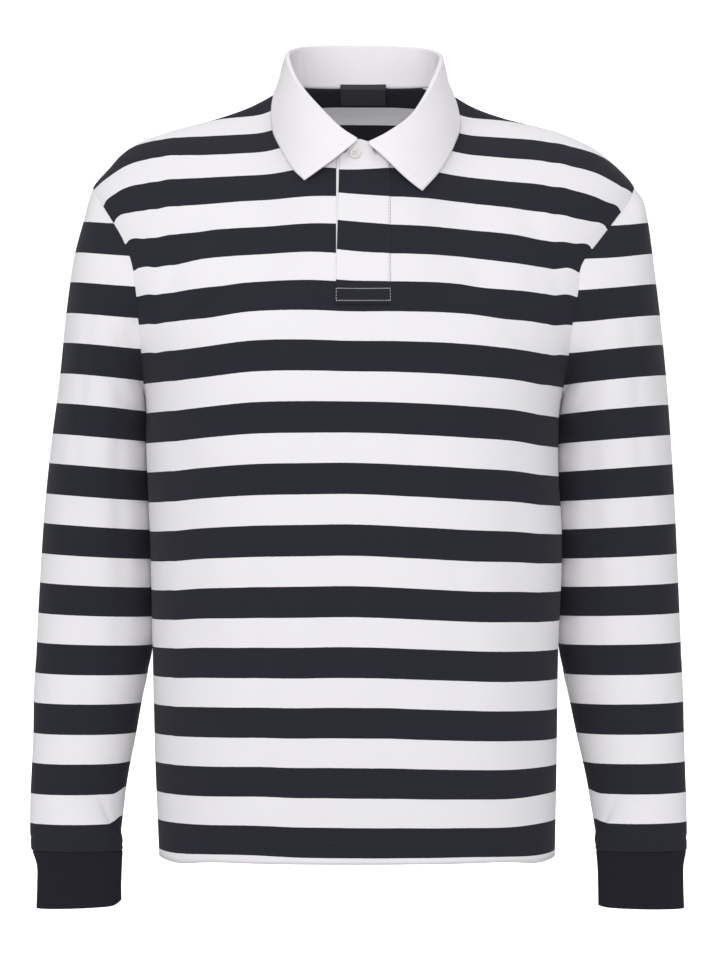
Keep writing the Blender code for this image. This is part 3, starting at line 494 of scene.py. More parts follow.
def setBump(tree, shader, height, distance, strength):
    bump = addNode(tree, "Bump", {"Height": height, "Strength": strength, "Distance": distance})
    tree.links.new(bump.outputs[0], shader.inputs["Normal"])


navy, white, cloudWhite = (0.0148, 0.0155, 0.0225), (0.800, 0.785, 0.806), (0.74, 0.72, 0.73)
# scales of the noise in cloth, thread and button
grain = {"fibre": 1400, "ribFibre": 1300, "blotch": 14, "wander": 260, "slub": 700, "thread": 3000,
         "pearl": 420}
# stitches across and up, in metres, and how far they stand out
knits = {"jersey": (0.00105, 0.00080, 0.00022), "rib": (0.00090, 0.00075, 0.00020)}
# the dark band in shares of the stripes' period: its middle, and its soft edge measured from there
darkMiddle, darkEdge = 0.2545, (0.2510, 0.2580)


# Heavy jersey: stripes by cloth height, columns of stitches a millimetre apart, soft fibre
def makeJersey(name, striped=True):
    made, tree, shader = newMaterial(name, white, 0.92, 0.04)
    across, up = clothUv(tree)
    fibre = objectNoise(tree, grain["fibre"], 3)
    cloud = addMath(tree, "MULTIPLY", objectNoise(tree, grain["blotch"], 2), 0.10)
    cloth = mixColour(tree, cloud, mixColour(tree, fibre, scaled(0.95, white), white), cloudWhite)
    if striped:
        wander = addMath(tree, "MULTIPLY_ADD", objectNoise(tree, grain["wander"], 1), 0.0003, -0.00015)
        height = addMath(tree, "ADD", addMath(tree, "SUBTRACT", up, hemBand), wander)
        turns = addMath(tree, "FRACT", addMath(tree, "DIVIDE", height, stripePeriod))
        fromDark = addMath(tree, "ABSOLUTE", addMath(tree, "SUBTRACT", turns, darkMiddle))
        inDark = addNode(tree, "MapRange", {"Value": fromDark, "From Min": darkEdge[0],
                                            "From Max": darkEdge[1], "To Min": 1.0, "To Max": 0.0},
                         interpolation_type="SMOOTHSTEP").outputs[0]
        darkCloth = mixColour(tree, fibre, scaled(0.75, navy), scaled(1.3, navy))
        cloth = mixColour(tree, inDark, cloth, darkCloth)
    tree.links.new(cloth, shader.inputs["Base Color"])
    wale, course, depth = knits["jersey"]
    courses = addMath(tree, "MULTIPLY_ADD", wave(tree, up, course, 0.6), 0.45, 0.55)
    knit = addMath(tree, "MULTIPLY", wave(tree, across, wale), courses)
    setBump(tree, shader, addMath(tree, "MULTIPLY_ADD", fibre, 0.6, knit), depth, 0.55)
    return made


# Plain weave: warp and weft waves crossing, each thread a little uneven
def makeWoven(name, colour, thread, roughness=0.85, depth=0.00010, sheen=0.05):
    made, tree, shader = newMaterial(name, colour, roughness, sheen)
    across, up = clothUv(tree)
    slub = objectNoise(tree, grain["slub"], 2)
    setTint(tree, shader, slub, scaled(0.955, colour), colour)
    weave, other = (addMath(tree, "MULTIPLY", wave(tree, across, 2 * thread, phase),
                            wave(tree, up, 2 * thread, 1.57 + phase)) for phase in (0.0, math.pi))
    crossing = addMath(tree, "ADD", weave, other)
    setBump(tree, shader, addMath(tree, "MULTIPLY_ADD", slub, 0.5, crossing), depth, 0.5)
    return made


def makeRib(name):
    made, tree, shader = newMaterial(name, navy, 0.95, 0.02)
    across, up = clothUv(tree)
    fibre = objectNoise(tree, grain["ribFibre"], 3)
    setTint(tree, shader, fibre, scaled(0.50, navy), scaled(0.95, navy))
    wale, course, depth = knits["rib"]
    knit = addMath(tree, "MULTIPLY", wave(tree, across, wale), wave(tree, up, course))
    setBump(tree, shader, addMath(tree, "MULTIPLY_ADD", fibre, 0.6, knit), depth, 0.6)
    return made


def makeThread(name, colour):
    made, tree, shader = newMaterial(name, colour, 0.7, 0.1)
    setTint(tree, shader, objectNoise(tree, grain["thread"], 2), scaled(0.85, colour), colour)
    return made


def makePearl(name):
    made, tree, shader = newMaterial(name, (0.70, 0.66, 0.63), 0.28, 0.0)
    shader.inputs["Specular IOR Level"].default_value = 0.5
    shader.inputs["Coat Weight"].default_value = 0.3
    setTint(tree, shader, objectNoise(tree, grain["pearl"], 3), (0.60, 0.56, 0.53), (0.80, 0.77, 0.74))
    return made


looks = {
    "jersey": makeJersey("Striped jersey"),
    "whiteJersey": makeJersey("White jersey", striped=False),
    "collar": makeWoven("White collar cloth", (0.835, 0.810, 0.840), 0.00032),
    "rib": makeRib("Navy rib"),
    "label": makeWoven("Navy label", (0.0400, 0.0385, 0.0460), 0.00025, 0.6, 0.00006, 0.0),
    "whiteThread": makeThread("White thread", (0.78, 0.77, 0.78)),
    "navyThread": makeThread("Navy thread", (0.030, 0.031, 0.038)),
    "greyThread": makeThread("Grey thread", (0.065, 0.066, 0.072)),
    "pearl": makePearl("Pale button"),
}
print("materials made:", len(looks))


# mesh helpers
def addMesh(name, vertices, faces, material):
    mesh = bpy.data.meshes.new(name)
    mesh.from_pydata(vertices.reshape(-1, 3).tolist(), [], faces)
    mesh.materials.append(material)
    mesh.shade_smooth()
    made = bpy.data.objects.new(name, mesh)
    bpy.context.scene.collection.objects.link(made)
    return made


# A grid of points as one sheet with its cloth coordinates, given thickness inwards
def addSheet(name, points, look, thickness, across, up, closed=False, flip=False, cut=None):
    rows, columns = points.shape[:2]
    r, c = np.meshgrid(np.arange(rows - 1), np.arange(columns if closed else columns - 1), indexing="ij")
    corners = [(r, c), (r, c + 1), (r + 1, c + 1), (r + 1, c)]
    if flip:
        corners.reverse()
    index = np.stack([i * columns + j % columns for i, j in corners], axis=-1)
    uv = np.stack([np.stack((across[i, j], up[i, j]), axis=-1) for i, j in corners], axis=-2)
    if cut is not None:
        index, uv = index[~cut], uv[~cut]
    made = addMesh(name, points, index.reshape(-1, 4).tolist(), looks[look])
    made.data.uv_layers.new(name="cloth").data.foreach_set("uv", uv.reshape(-1).astype(np.float32))
    solidify = made.modifiers.new("Thickness", "SOLIDIFY")
    solidify.thickness = thickness
    solidify.offset = -1
    solidify.use_quality_normals = True
    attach(made, "root")
    return made


# kinds of sewing: thread, length of a stitch, gap, width and the share of it sunk in the cloth
stitchKinds = {
    "topstitch": ("whiteThread", 0.0022, 0.0009, 0.00036, 0.40),
    "box": ("whiteThread", 0.0012, 0.0011, 0.00086, 0.25),
    "sewnEdge": ("greyThread", 0.0013, 0.0020, 0.00034, 0.42),
    "buttonhole": ("whiteThread", 0.0006, 0.0001, 0.0005, 0.2),
    "button": ("whiteThread", 0.0024, 0.0, 0.0007, 0.1),
    "hem": ("navyThread", 0.0024, 0.0012, 0.00034, 0.42),
}


# Dashes along a path: each is a tube of five sides between two points, pinched at its ends
def addStitches(name, path, outward, kind):
    look, length, gap, width, sink = stitchKinds[kind]
    run = runLength(path, 0)
    count = max(int(run[-1] / (length + gap)), 1)
    start = np.linspace(0, run[-1], count, endpoint=False)
    at = start[:, None] + np.array((0.0, 0.22, 0.78, 1.0)) * length
    centre = np.stack([np.interp(at, run, path[:, k]) for k in range(3)], axis=-1)
    up = np.stack([np.interp(at, run, outward[:, k]) for k in range(3)], axis=-1)
    up = unitVectors(up)
    ahead = unitVectors(centre[:, -1:] - centre[:, :1])
    beside = np.cross(up, ahead)
    girth = np.array((0.25, 1.0, 1.0, 0.25))[None, :, None, None] * width / 2
    turn = np.linspace(0, 2 * math.pi, 5, endpoint=False)[None, None, :, None]
    spoke = np.cos(turn) * beside[:, :, None] + np.sin(turn) * up[:, :, None]
    ring = centre[:, :, None] + girth * spoke
    ring = ring + up[:, :, None] * width * (0.5 - sink)
    base = (np.arange(count) * 20)[:, None, None]
    r, s = np.meshgrid(np.arange(3), np.arange(5), indexing="ij")
    corners = ((r, s), (r, s + 1), (r + 1, s + 1), (r + 1, s))
    quads = np.stack([base + i * 5 + j % 5 for i, j in corners], axis=-1)
    ends = [[*range(i, i + 5)][::-1] for i in range(0, count * 20, 20)]
    ends += [[*range(i + 15, i + 20)] for i in range(0, count * 20, 20)]
    made = addMesh(name, ring, quads.reshape(-1, 4).tolist() + ends, looks[look])
    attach(made, "root")
    return made


# Points and outward normals along a line of (a, b) on a surface function
def onSurface(surface, a, b, nudge=0.002):
    alongA = surface(a + nudge, b) - surface(a - nudge, b)
    alongB = surface(a, b + nudge) - surface(a, b - nudge)
    return surface(a, b), unitVectors(np.cross(alongA, alongB))


# front and back panels
panel = {"columns": 150, "trunkRows": 120, "armholeRows": 44, "shoulderRows": 46,
         "slit": (0.012, 0.030), "slitFoot": -0.190, "slitClear": 0.004,
         "curl": {-1: 0.0034, 1: 0.0017}, "curlWidth": 0.0038, "curlZ": (-0.200, -0.084),
         "reverse": 0.38, "reverseAt": 0.012, "reverseWidth": 0.006,
         "hemDrop": 0.0040, "hemCorner": 0.168, "cornerWidth": 0.022, "cornerHeight": 0.005, "hemRow": 0.021,
         # the cut, from the widest row and the longest column of what shows, and its area
         "flat": {"front": (0.60, 0.80), "back": (0.58, 0.80)}, "area": {"front": 0.358, "back": 0.372}}

edgeZ = np.concatenate((
    np.linspace(hem, armpit, panel["trunkRows"] + 1),
    armholeZ(np.linspace(math.pi, 0, panel["armholeRows"] + 1))[1:],
    np.linspace(shoulderTip, neckSide, panel["shoulderRows"] + 1)[1:],
))[:, None]
even = np.linspace(-1, 1, panel["columns"] + 1)
columnsU = 0.75 * even + 0.25 * np.sin(even * math.pi / 2)
columnsU = np.concatenate(((-1, -0.996), columnsU[1:-1], (0.996, 1)))
slitLeft, slitRight = panel["slit"]
frontU = np.concatenate((columnsU[columnsU < slitLeft - panel["slitClear"]], panel["slit"],
                         columnsU[columnsU > slitRight + panel["slitClear"]]))

for name, side, u in (("front", -1, frontU), ("back", 1, columnsU)):
    points = panelPoint(u[None, :], edgeZ, side)
    across = runLength(points, 1)
    across -= across[:, len(u) // 2][:, None]
    up = stripeHeight(points[..., 0], points[..., 2], side)
    # the armhole seam pulls the cloth in, so the stripes' ends curl down beside it
    inset = armholeX(points[..., 0], points[..., 2], side) - np.abs(points[..., 0])
    height = points[..., 2]
    low, high = panel["curlZ"]
    pulled = ramp(height, low, low + 0.05) * ramp(height, high, high - 0.010)
    curl = bell(inset, panel["curlWidth"])
    reverse = bell(inset - panel["reverseAt"], panel["reverseWidth"])
    up = up + panel["curl"][side] * pulled * (curl - panel["reverse"] * reverse)
    # the hem hangs a little lower before it turns round the side
    corner = bell(np.abs(points[..., 0]) - panel["hemCorner"], panel["cornerWidth"])
    fade = np.exp(-((height - hem) / panel["cornerHeight"]))
    points[..., 2] = height - panel["hemDrop"] * corner * fade
    cut = None
    if side < 0:
        slitColumn = int(np.searchsorted(u, slitLeft))
        cut = np.zeros((len(edgeZ) - 1, len(u) - 1), bool)
        cut[:, slitColumn] = points[1:, slitColumn, 2] > panel["slitFoot"]
    made = addSheet(name + "Panel", points, "jersey", jersey, across, up, flip=side > 0, cut=cut)
    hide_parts(name)
print("panels made")

# sleeves
sleeve = {"around": 96, "rings": 220, "stripesUp": 11, "footRoll": 0.0009, "rollFrom": 13.90,
          "flat": {"left": (0.513, 0.640), "right": (0.527, 0.640)},
          "area": {"left": 0.1745, "right": 0.1829},
          "period": {"left": 0.0571, "right": 0.0567},
          "darkFoot": {"left": -0.7116, "right": -0.7101},
          "outerLift": {"left": 0.0012, "right": 0.0032}, "liftZ": (-0.200, -0.110),
          "creaseLift": {"left": 0.0060, "right": 0.0030}, "creaseZ": -0.668, "creaseHalf": 0.036,
          "creaseFrom": (0.885, 0.985)}
# how far the sleeve's stripes hang at its inner end
sleeveSag = readTable("z left right", (
    (-0.7200, 0.0000, 0.0005),
    (-0.6000, 0.0000, 0.0008),
    (-0.5500, 0.0010, 0.0014),
    (-0.5000, 0.0030, 0.0020),
    (-0.4500, 0.0050, 0.0040),
    (-0.4000, 0.0070, 0.0060),
    (-0.3200, 0.0080, 0.0088),
    (-0.2300, 0.0098, 0.0122),
    (-0.1710, 0.0145, 0.0170),
    (-0.1420, 0.0180, 0.0210),
    (-0.1100, 0.0190, 0.0225),
    (-0.0800, 0.0190, 0.0225),
))
for hand in ("left", "right"):
    angle = np.linspace(0, 2 * math.pi, sleeve["around"] + 1)[None, :]
    ring = np.linspace(0, sleeveRings["ring"][-1], sleeve["rings"] + 1)[:, None]
    points = sleevePoint(hand, ring, angle)
    across = runLength(points, 1)
    z = points[..., 2]
    inwards = (1 - np.cos(angle)) / 2
    sag = follow(sleeveSag, hand, z) * inwards
    sag = sag - sleeve["outerLift"][hand] * ramp(z, *sleeve["liftZ"]) * (1 - inwards)
    # a crease near the cuff lifts the stripes at the inner edge
    edge = ramp(inwards, *sleeve["creaseFrom"]) ** 1.5 * (angle < math.pi + 0.6)
    crease = bell(z - sleeve["creaseZ"], sleeve["creaseHalf"], 4)
    sag = sag - sleeve["creaseLift"][hand] * edge * crease
    up = (z - sleeve["darkFoot"][hand] + sag) * stripePeriod / sleeve["period"][hand] + hemBand
    up = np.maximum(up, hemBand + 0.002)    # dark down to the cuff
    up = np.minimum(up, hemBand + sleeve["stripesUp"] * stripePeriod - 0.0006)    # white up to the shoulder
    # the foot rolls in softly to the cuff
    away = unitVectors(points - points.mean(axis=1, keepdims=True))
    rolled = ramp(ring, sleeve["rollFrom"], sleeveRings["ring"][-1]) ** 2
    points = points - away * (sleeve["footRoll"] * rolled)[..., None]
    made = addSheet(hand + "Sleeve", points[:, :-1], "jersey", jersey, across, up,
                    closed=True, flip=hand == "left")
    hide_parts("sleeve_" + hand)
print("sleeves made")

# cuffs: fine ribs raised outside a plain inside
cuff = {"ribs": 96, "perRib": 6, "rows": 30, "depth": 0.0004, "thickness": 0.0016, "flat": (0.205, 0.057),
        "top": -0.7090, "foot": -0.7635, "tucked": (-0.7066, -0.7074, -0.7082), "tuck": 0.0022,
        "tuckZ": (-0.7092, -0.7080),
        "half": (0.041, 0.019), "riseFrom": -0.7300,
        "innerRise": {"left": 0.0030, "right": 0.0016}, "cornerRise": {"left": 0.0045, "right": 0.0012}}
for hand in ("left", "right"):
    fine = np.linspace(0, 2 * math.pi, 1441)
    arc = runLength(np.stack((cuff["half"][0] * np.cos(fine), cuff["half"][1] * np.sin(fine)), axis=-1), 0)
    count = cuff["ribs"] * cuff["perRib"]
    angle = np.interp(np.linspace(0, arc[-1], count + 1), arc, fine)[None, :]
    # three rows are tucked up inside the sleeve's foot
    shown = np.linspace(cuff["top"], cuff["foot"], cuff["rows"] + 1)
    z = np.concatenate((cuff["tucked"], shown))[:, None]
    points = ringPoint(cuffRings, "z", hand, z, angle, z)
    # the foot rises towards the inner end and rounds its corner
    inwards = (1 - np.cos(angle)) / 2
    atCorner = bell(1 - inwards, 0.05, 1.3)
    rise = cuff["innerRise"][hand] * inwards + cuff["cornerRise"][hand] * atCorner
    points[..., 2] += rise * ramp(z, cuff["riseFrom"], cuff["foot"]) ** 1.5
    centre = points[:, :-1].mean(axis=1, keepdims=True)
    outward = unitVectors(points - centre)
    groove = 0.5 - 0.5 * np.cos(2 * math.pi * np.arange(count + 1) / cuff["perRib"])
    roll = 1 - 0.5 * bell(z - cuff["foot"], 0.0012)    # the foot turns in softly
    tuck = cuff["tuck"] * ramp(z, *cuff["tuckZ"])
    points = points - outward * (cuff["depth"] * groove[None, :] * roll + tuck)[..., None]
    across = runLength(points, 1)
    up = np.broadcast_to(z - cuff["foot"], across.shape)
    made = addSheet(hand + "Cuff", points[:, :-1], "rib", cuff["thickness"] - cuff["depth"], across, up,
                    closed=True, flip=hand == "left")
    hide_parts("cuff_" + hand)
print("cuffs made")

# collar
collar = {"foldRadius": 0.0024, "frontEnd": 0.96, "thickness": 0.0013, "stitchInset": 0.0055,
          "bulgeAt": (0.0, 0.2, 0.35, 0.5, 0.6, 0.7, 0.8, 1.0),
          "bulge": (0.0030, 0.0030, 0.0008, -0.0005, 0.0004, 0.0022, 0.0034, 0.0035),
          "frontBend": 0.0025, "frontBendWidth": 0.10,
          "swing": ((0.60, -0.24, -0.80), (-0.67, -0.22, -0.74)),
          "standSteps": 14, "foldSteps": 9, "fallSteps": 26,
          "creases": ((-0.27, 0.014, -0.0009), (0.02, 0.022, 0.0008), (0.31, 0.016, -0.0006)),
          "flat": (0.56, 0.102)}


# Columns go up the stand from the neck seam, over the fold and down the fall
def collarGrid(along):
    fold = np.stack([follow(collarRows, "fold" + axis, along, "along") for axis in "XYZ"], axis=-1)
    edgeX, edgeHeight = (follow(collarRows, key, along, "along") for key in ("edgeX", "edgeZ"))
    lift = follow(collarRows, "lift", along, "along")[:, None]
    onFront = np.clip((np.abs(along) - 0.5) * 8 + 0.5, 0, 1)[:, None]
    edge = bodyPoint(edgeX, edgeHeight, -1, lift) * onFront
    edge = edge + bodyPoint(edgeX, edgeHeight, 1, lift) * (1 - onFront)
    place = along * collar["frontEnd"]
    isFront = np.abs(place) > 0.5
    u = np.where(isFront, np.sign(place) * 2 * (1 - np.abs(place)), 2 * place)
    (frontX, frontZ), (backX, backZ) = neckCurve(u, -1), neckCurve(u, 1)
    x, z = np.where(isFront, frontX, backX), np.where(isFront, frontZ, backZ)
    seam = asPoints(x, np.where(isFront, bodyY(x, z, -1), bodyY(x, z, 1)), z)
    out = unitVectors((fold - (neckX, 0.0, 0.0)) * (1, 1, 0))
    up = np.array((0.0, 0.0, 1.0))
    radius = collar["foldRadius"]
    arc = [fold - up * radius + radius * (math.cos(turn) * out + math.sin(turn) * up)
           for turn in np.linspace(math.pi, 0, collar["foldSteps"])]
    # soft upright creases in the stand: a sum of bells along it, highest halfway up
    crease = sum(depth * bell(along - place, wide) for place, wide, depth in collar["creases"])
    stand = [seam + (arc[0] - seam) * share + math.sin(math.pi * share) * crease[:, None] * out
             for share in np.linspace(0.015, 1, collar["standSteps"], endpoint=False)]
    bulge = np.interp(np.abs(along), collar["bulgeAt"], collar["bulge"])[:, None]
    # the front edges of the two leaves swing down towards the placket between fold and point
    isLeft = (along < 0)[:, None]
    swing = np.where(isLeft, *collar["swing"])
    nearFront = bell(1 - np.abs(along), collar["frontBendWidth"])[:, None]
    fall = []
    for share in np.linspace(0, 1, collar["fallSteps"] + 1)[1:]:
        bent = np.where(isLeft, math.sin(math.pi * share), math.sin(math.pi * share**1.6))
        fall.append(arc[-1] + (edge - arc[-1]) * share + bulge * math.sin(math.pi * share) * (out + 0.5 * up)
                    + collar["frontBend"] * nearFront * bent * swing)
    return np.stack(stand + arc + fall, axis=1)


along = np.linspace(-1, 1, 241)
points = collarGrid(along)
across = runLength(points, 0)
made = addSheet("collarCloth", points, "collar", collar["thickness"], across, runLength(points, 1),
                flip=True)
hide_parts("collar")
# one row of stitches runs inside the leaves' edges: down a front edge, along, and up the other
down = runLength(points, 1)
foldColumn = collar["standSteps"] + collar["foldSteps"] - 3    # where the fold turns down
fromEdge = down[:, -1:] - down
lowRow = np.argmin(np.abs(fromEdge - collar["stitchInset"]), axis=1)
first = int(np.searchsorted(across[:, -1], collar["stitchInset"]))
last = len(along) - 1 - first
track = [(first, k) for k in range(foldColumn, lowRow[first])]
track += [(k, lowRow[k]) for k in range(first, last + 1)]
track += [(last, k) for k in range(lowRow[last] - 1, foldColumn - 1, -1)]
track = np.array(track)
path = points[track[:, 0], track[:, 1]]
normals = np.cross(np.gradient(points, axis=1), np.gradient(points, axis=0))
outward = unitVectors(normals[track[:, 0], track[:, 1]])
outward *= np.sign(((path - (neckX, 0.0, -0.080)) * outward).sum(axis=-1, keepdims=True))
collarStitches = addStitches("collarTopstitch", path, outward, "topstitch")
print("collar made")

# placket
placket = {"foot": -0.1954, "top": -0.053, "freeEdge": (-0.0212, -0.0175), "sewnEdge": 0.0297,
           "underEdges": (-0.0206, 0.0265), "topDrop": 0.0045,
           "tabMiddle": 0.0020, "tabHalf": 0.0115, "tabLean": 0.0025,
           "tabAt": (-0.0120, -0.0020, 0.0035, 0.0075), "tabRise": (0.0150, 0.0150, 0.0137, 0.0125)}


# Height of the neck seam at x, less the drop
def placketTop(x):
    u = np.arcsin(np.clip((x - neckX) / neckHalfWidth, -1, 1)) * 2 / math.pi
    return neckCurve(u, -1)[1] - placket["topDrop"]


# A strip over the front: s across between its edges, t up from its foot to the neck
def stripPoint(s, t, left, right, lift, tab=False):
    share = t * (placketTop(0 * s) - placket["foot"]) / (placket["top"] - placket["foot"])
    low = left[0] + (left[1] - left[0]) * np.clip(share, 0, 1)
    x = low + (right - low) * s
    z = placket["foot"] + (placketTop(x) - placket["foot"]) * t
    # the sewn edge lies down on the front
    nearSeam = ramp(x, right - 0.0035, right) ** 2
    y = bodyY(x, z, -1) - lift * (1 - 0.75 * nearSeam)
    if tab:
        rise = ramp(t, 0.93, 1) ** 2
        window = bell(x - placket["tabMiddle"], placket["tabHalf"], 6)
        z = z + rise * window * np.interp(x, placket["tabAt"], placket["tabRise"])
        y = y - rise * window * placket["tabLean"]
    return asPoints(x, y, z)


underLift = layerGap + underCloth
outerLift = underLift + layerGap + jersey
s, t = np.linspace(0, 1, 49)[None, :], np.linspace(0, 1, 131)[:, None]
strips = {
    "placketUnder": {"node": "placket_under", "edges": (placket["underEdges"][0],) * 2,
                     "right": placket["underEdges"][1], "lift": underLift, "cloth": underCloth,
                     "look": "whiteJersey", "slot": "white_cloth", "flat": (0.0477, 0.1500)},
    "placketStrip": {"node": "placket", "edges": placket["freeEdge"], "right": placket["sewnEdge"],
                     "lift": outerLift, "cloth": jersey, "look": "jersey", "slot": "striped_jersey",
                     "flat": (0.0515, 0.1610)},
}
for name, strip in strips.items():
    isOuter = name == "placketStrip"
    points = stripPoint(s, t, strip["edges"], strip["right"], strip["lift"], tab=isOuter)
    across = points[..., 0] + 0.2
    # the strip was cut apart from the front, so its stripes sit a little high at the free edge
    ahead = np.interp(points[..., 2], (-0.190, -0.173, -0.145, -0.088, -0.070),
                      (0.0010, 0.0015, 0.0036, 0.0036, -0.0012))
    up = stripeHeight(points[..., 0], points[..., 2], -1) - ahead * (1 - s)
    made = addSheet(name, points, strip["look"], strip["cloth"], across, up)
    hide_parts(strip["node"])
print("placket made")

# label, left bare
label = {"width": 0.044, "top": 0.0285, "foot": 0.0085, "bend": 0.0236, "inset": 0.0033, "cloth": 0.0006,
         "flat": (0.044, 0.0237)}
x = neckX + np.linspace(-0.5, 0.5, 45)[None, :] * label["width"]
z = np.linspace(label["foot"], label["top"], 25)[:, None]
y = bodyY(x, np.minimum(z, label["bend"]), 1) - label["inset"]
points = asPoints(x, y, z)
made = addSheet("neckLabel", points, "label", label["cloth"], runLength(points, 1), runLength(points, 0))
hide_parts("label")

# button: turned rim and dish with four holes
button = {"x": -0.0034, "z": -0.0541, "radius": 0.0052, "thick": 0.0024, "shank": 0.0014,
          "holeRadius": 0.0007, "holeSpacing": 0.0012, "cutterLength": 0.008, "cutterMiddle": 0.0012,
          "threadHeight": 0.86}


def outerStripY(x, z):
    return float(bodyY(np.array(x), np.array(z), -1)) - outerLift


bx, bz = button["x"], button["z"]
reach = button["radius"]
slope = (outerStripY(bx, bz + reach) - outerStripY(bx, bz - reach)) / (2 * reach)
tilt = math.atan(slope)
axis = np.array((0.0, -math.cos(tilt), math.sin(tilt)))
upward = np.array((0.0, math.sin(tilt), math.cos(tilt)))
sideways = np.array((1.0, 0.0, 0.0))
foot = np.array((bx, outerStripY(bx, bz), bz)) + axis * button["shank"]
profile = ((0.0, 0.0), (0.84, 0.0), (0.96, 0.14), (1.0, 0.34), (1.0, 0.62), (0.975, 0.84), (0.92, 0.96),
           (0.85, 1.0), (0.77, 0.97), (0.70, 0.90), (0.60, 0.85), (0.40, 0.83), (0.0, 0.82))
turn = np.linspace(0, 2 * math.pi, 64, endpoint=False)
rings = [foot + height * button["thick"] * axis
         + share * button["radius"] * (np.cos(turn)[:, None] * sideways + np.sin(turn)[:, None] * upward)
         for share, height in profile[1:-1]]
vertices = np.concatenate([foot[None]] + rings + [(foot + profile[-1][1] * button["thick"] * axis)[None]])
faces = []
sides = len(turn)
for i in range(sides):
    after = (i + 1) % sides
    faces.append((0, 1 + after, 1 + i))
    for ring in range(len(rings) - 1):
        low, high = 1 + ring * sides, 1 + (ring + 1) * sides
        faces.append((low + i, low + after, high + after, high + i))
    last = 1 + (len(rings) - 1) * sides
    faces.append((last + i, last + after, len(vertices) - 1))
topButton = addMesh("topButton", vertices, faces, looks["pearl"])
cutters = []
for across, up in ((-1, -1), (1, -1), (-1, 1), (1, 1)):
    spoke = button["holeSpacing"] * (across * sideways + up * upward)
    bpy.ops.mesh.primitive_cylinder_add(vertices=20, radius=button["holeRadius"],
                                        depth=button["cutterLength"],
                                        location=foot + axis * button["cutterMiddle"] + spoke,
                                        rotation=(math.pi / 2 - tilt, 0, 0))
    cutter = bpy.context.object
    hole = topButton.modifiers.new("hole", "BOOLEAN")
    hole.object = cutter
    cutters.append(cutter)
evaluated = topButton.evaluated_get(bpy.context.evaluated_depsgraph_get())
holed = bpy.data.meshes.new_from_object(evaluated)
topButton.modifiers.clear()
topButton.data = holed
for cutter in cutters:
    bpy.data.objects.remove(cutter, do_unlink=True)
holed.set_sharp_from_angle(angle=math.radians(40))
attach(topButton, "root")
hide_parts("button")
print("label and button made")


def frontAt(u, height):
    return panelPoint(u, height, -1)


def backAt(u, height):
    return panelPoint(u, height, 1)


def stripAt(s, t):
    return stripPoint(s, t, placket["freeEdge"], placket["sewnEdge"], outerLift, tab=True)


# the box of stitches at the placket's foot, and its sewn edge, in shares of the strip
boxLeft, boxRight, boxLow, boxHigh = 0.012, 0.985, 0.022, 0.100
edgeRow, edgeRowLow, edgeRowHigh = 0.962, 0.11, 0.90
corners = ((boxLeft, boxLow), (boxRight, boxLow), (boxRight, boxHigh), (boxLeft, boxHigh))
for i, (a, b) in enumerate(zip(corners, corners[1:] + corners[:1])):
    s = np.linspace(a[0], b[0], 30)
    t = np.linspace(a[1], b[1], 30)
    path, outward = onSurface(stripAt, s, t)
    addStitches(f"placketBox{i}", path, outward, "box")
t = np.linspace(edgeRowLow, edgeRowHigh, 80)
path, outward = onSurface(stripAt, 0 * t + edgeRow, t)
addStitches("placketSewnEdge", path, outward, "sewnEdge")
# the end of the buttonhole beyond the button: two rows of short threads and a bar
upStrip = np.linspace(0.80, 1.0, 201)
holeRows = ((0.0008, -0.0538, 0.0058, -0.0508), (0.0014, -0.0550, 0.0064, -0.0520),
            (0.0058, -0.0508, 0.0064, -0.0520))
for i, (startX, startZ, endX, endZ) in enumerate(holeRows):
    x, z = np.linspace(startX, endX, 12), np.linspace(startZ, endZ, 12)
    s = (x - placket["freeEdge"][1]) / (placket["sewnEdge"] - placket["freeEdge"][1])
    heights = stripAt(s[:, None], upStrip[None, :])[..., 2]
    t = np.array([np.interp(level, column, upStrip) for level, column in zip(z, heights)])
    path, outward = onSurface(stripAt, s, t)
    addStitches(f"buttonhole{i}", path, outward, "buttonhole")
# thread through the button's holes
buttonFace = foot + button["threadHeight"] * button["thick"] * axis
for i, up in enumerate((-1, 1)):
    ends = [buttonFace + button["holeSpacing"] * (across * sideways + up * upward) for across in (-1, 0, 1)]
    addStitches(f"buttonThread{i}", np.stack(ends), np.repeat(axis[None], 3, axis=0), "button")

# one row above the hem in dark thread, all round
for name, surface, sign in (("front", frontAt, 1), ("back", backAt, -1)):
    u = sign * np.linspace(-0.995, 0.995, 240)
    path, outward = onSurface(surface, u, 0 * u + hem + panel["hemRow"])
    hemRow = addStitches(name + "HemRow", path, sign * outward, "hem")

# floor, light and camera
studio = {"floorColour": (0.93, 0.93, 0.93, 1), "floorGlow": 0.70, "floorLevel": -0.86, "sky": 0.60,
          "aim": (0, 0, -0.35), "lens": 118.8, "sensor": 36, "cameraPlace": (0, -3.0, -0.3548)}
floorMaterial = bpy.data.materials.new("Pale floor")
floorMaterial.use_nodes = True
floorShader = floorMaterial.node_tree.nodes["Principled BSDF"]
floorShader.inputs["Base Color"].default_value = studio["floorColour"]
floorShader.inputs["Roughness"].default_value = 0.9
floorShader.inputs["Emission Color"].default_value = (1.0, 1.0, 1.0, 1)
floorShader.inputs["Emission Strength"].default_value = studio["floorGlow"]
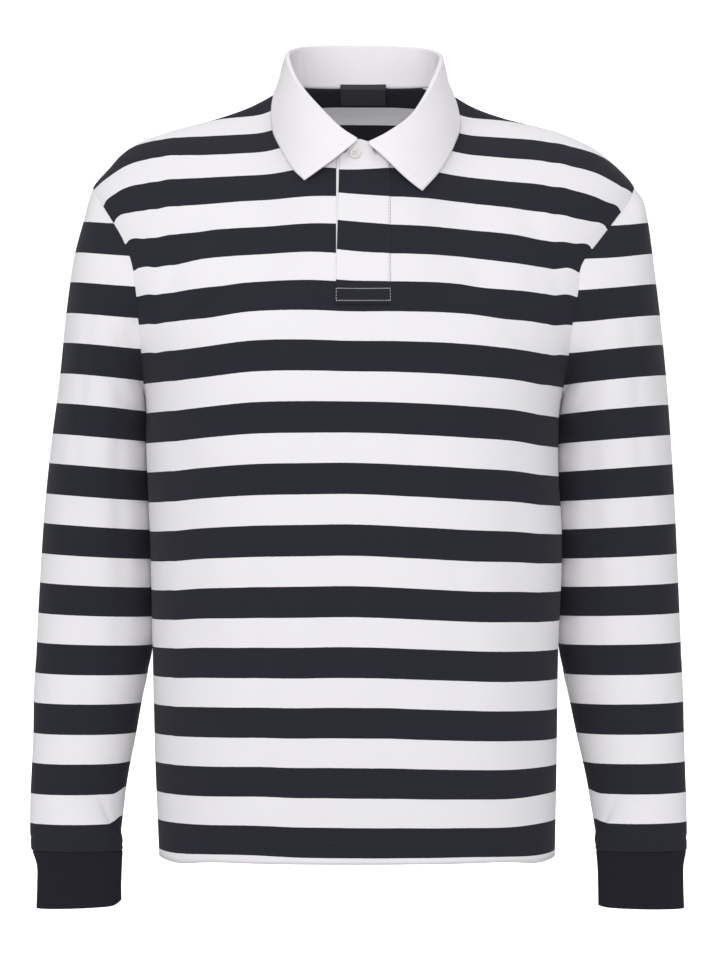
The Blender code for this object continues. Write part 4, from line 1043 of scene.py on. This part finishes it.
# a round floor that sweeps up all round into a dome
bend = np.linspace(0, math.pi / 2, 12)
profileR = np.concatenate(((0.0, 3.0), 5.0 + 3.0 * np.sin(bend), (7.0, 4.0, 0.0)))
profileZ = np.concatenate(((0.0, 0.0), 3.0 - 3.0 * np.cos(bend), (6.5, 8.0, 8.5))) + studio["floorLevel"]
turn = np.linspace(0, 2 * math.pi, 48, endpoint=False)
points = asPoints(profileR[:, None] * np.cos(turn), profileR[:, None] * np.sin(turn), profileZ[:, None])
rows, columns = points.shape[:2]
faces = [(r * columns + c, r * columns + (c + 1) % columns,
          (r + 1) * columns + (c + 1) % columns, (r + 1) * columns + c)
         for r in range(rows - 1) for c in range(columns)]
floor = addMesh("floor", points, faces, floorMaterial)
# the camera sees the white floor, and it sends no light back to the cloth
floor.visible_diffuse = False
floor.visible_glossy = False
floor.visible_shadow = False

world = bpy.data.worlds.new("Studio")
world.use_nodes = True
world.node_tree.nodes["Background"].inputs[0].default_value = (1.0, 1.0, 1.0, 1)
world.node_tree.nodes["Background"].inputs[1].default_value = studio["sky"]
bpy.context.scene.world = world

bpy.context.scene.view_settings.view_transform = "Standard"
lights = {
    "front": {"place": (0.0, -3.6, 0.15), "size": 1.0, "power": 43},
    "key": {"place": (-2.2, -2.8, 1.3), "size": 2.4, "power": 32},
    "fill": {"place": (2.4, -3.0, 0.6), "size": 3.0, "power": 16},
    "top": {"place": (0.0, 0.6, 2.6), "size": 2.5, "power": 15},
    "back": {"place": (0.6, 3.4, 0.9), "size": 2.4, "power": 42},
}
for name, setting in lights.items():
    lamp = bpy.data.lights.new(name, "AREA")
    lamp.shape = "SQUARE"
    lamp.size = setting["size"]
    lamp.energy = setting["power"]
    lampObject = bpy.data.objects.new(name, lamp)
    lampObject.location = setting["place"]
    towards = np.array(studio["aim"]) - np.array(setting["place"])
    yaw = math.atan2(towards[0], -towards[1])
    pitch = math.atan2(math.hypot(towards[0], towards[1]), -towards[2])
    lampObject.rotation_euler = (pitch, 0, yaw + math.pi)
    bpy.context.scene.collection.objects.link(lampObject)

cameraData = bpy.data.cameras.new("camera")
cameraData.lens = studio["lens"]
cameraData.sensor_width = studio["sensor"]
camera = bpy.data.objects.new("camera", cameraData)
camera.location = studio["cameraPlace"]
camera.rotation_euler = (math.pi / 2, 0, 0)
bpy.context.scene.collection.objects.link(camera)
bpy.context.scene.camera = camera
print("floor, lights and camera made")
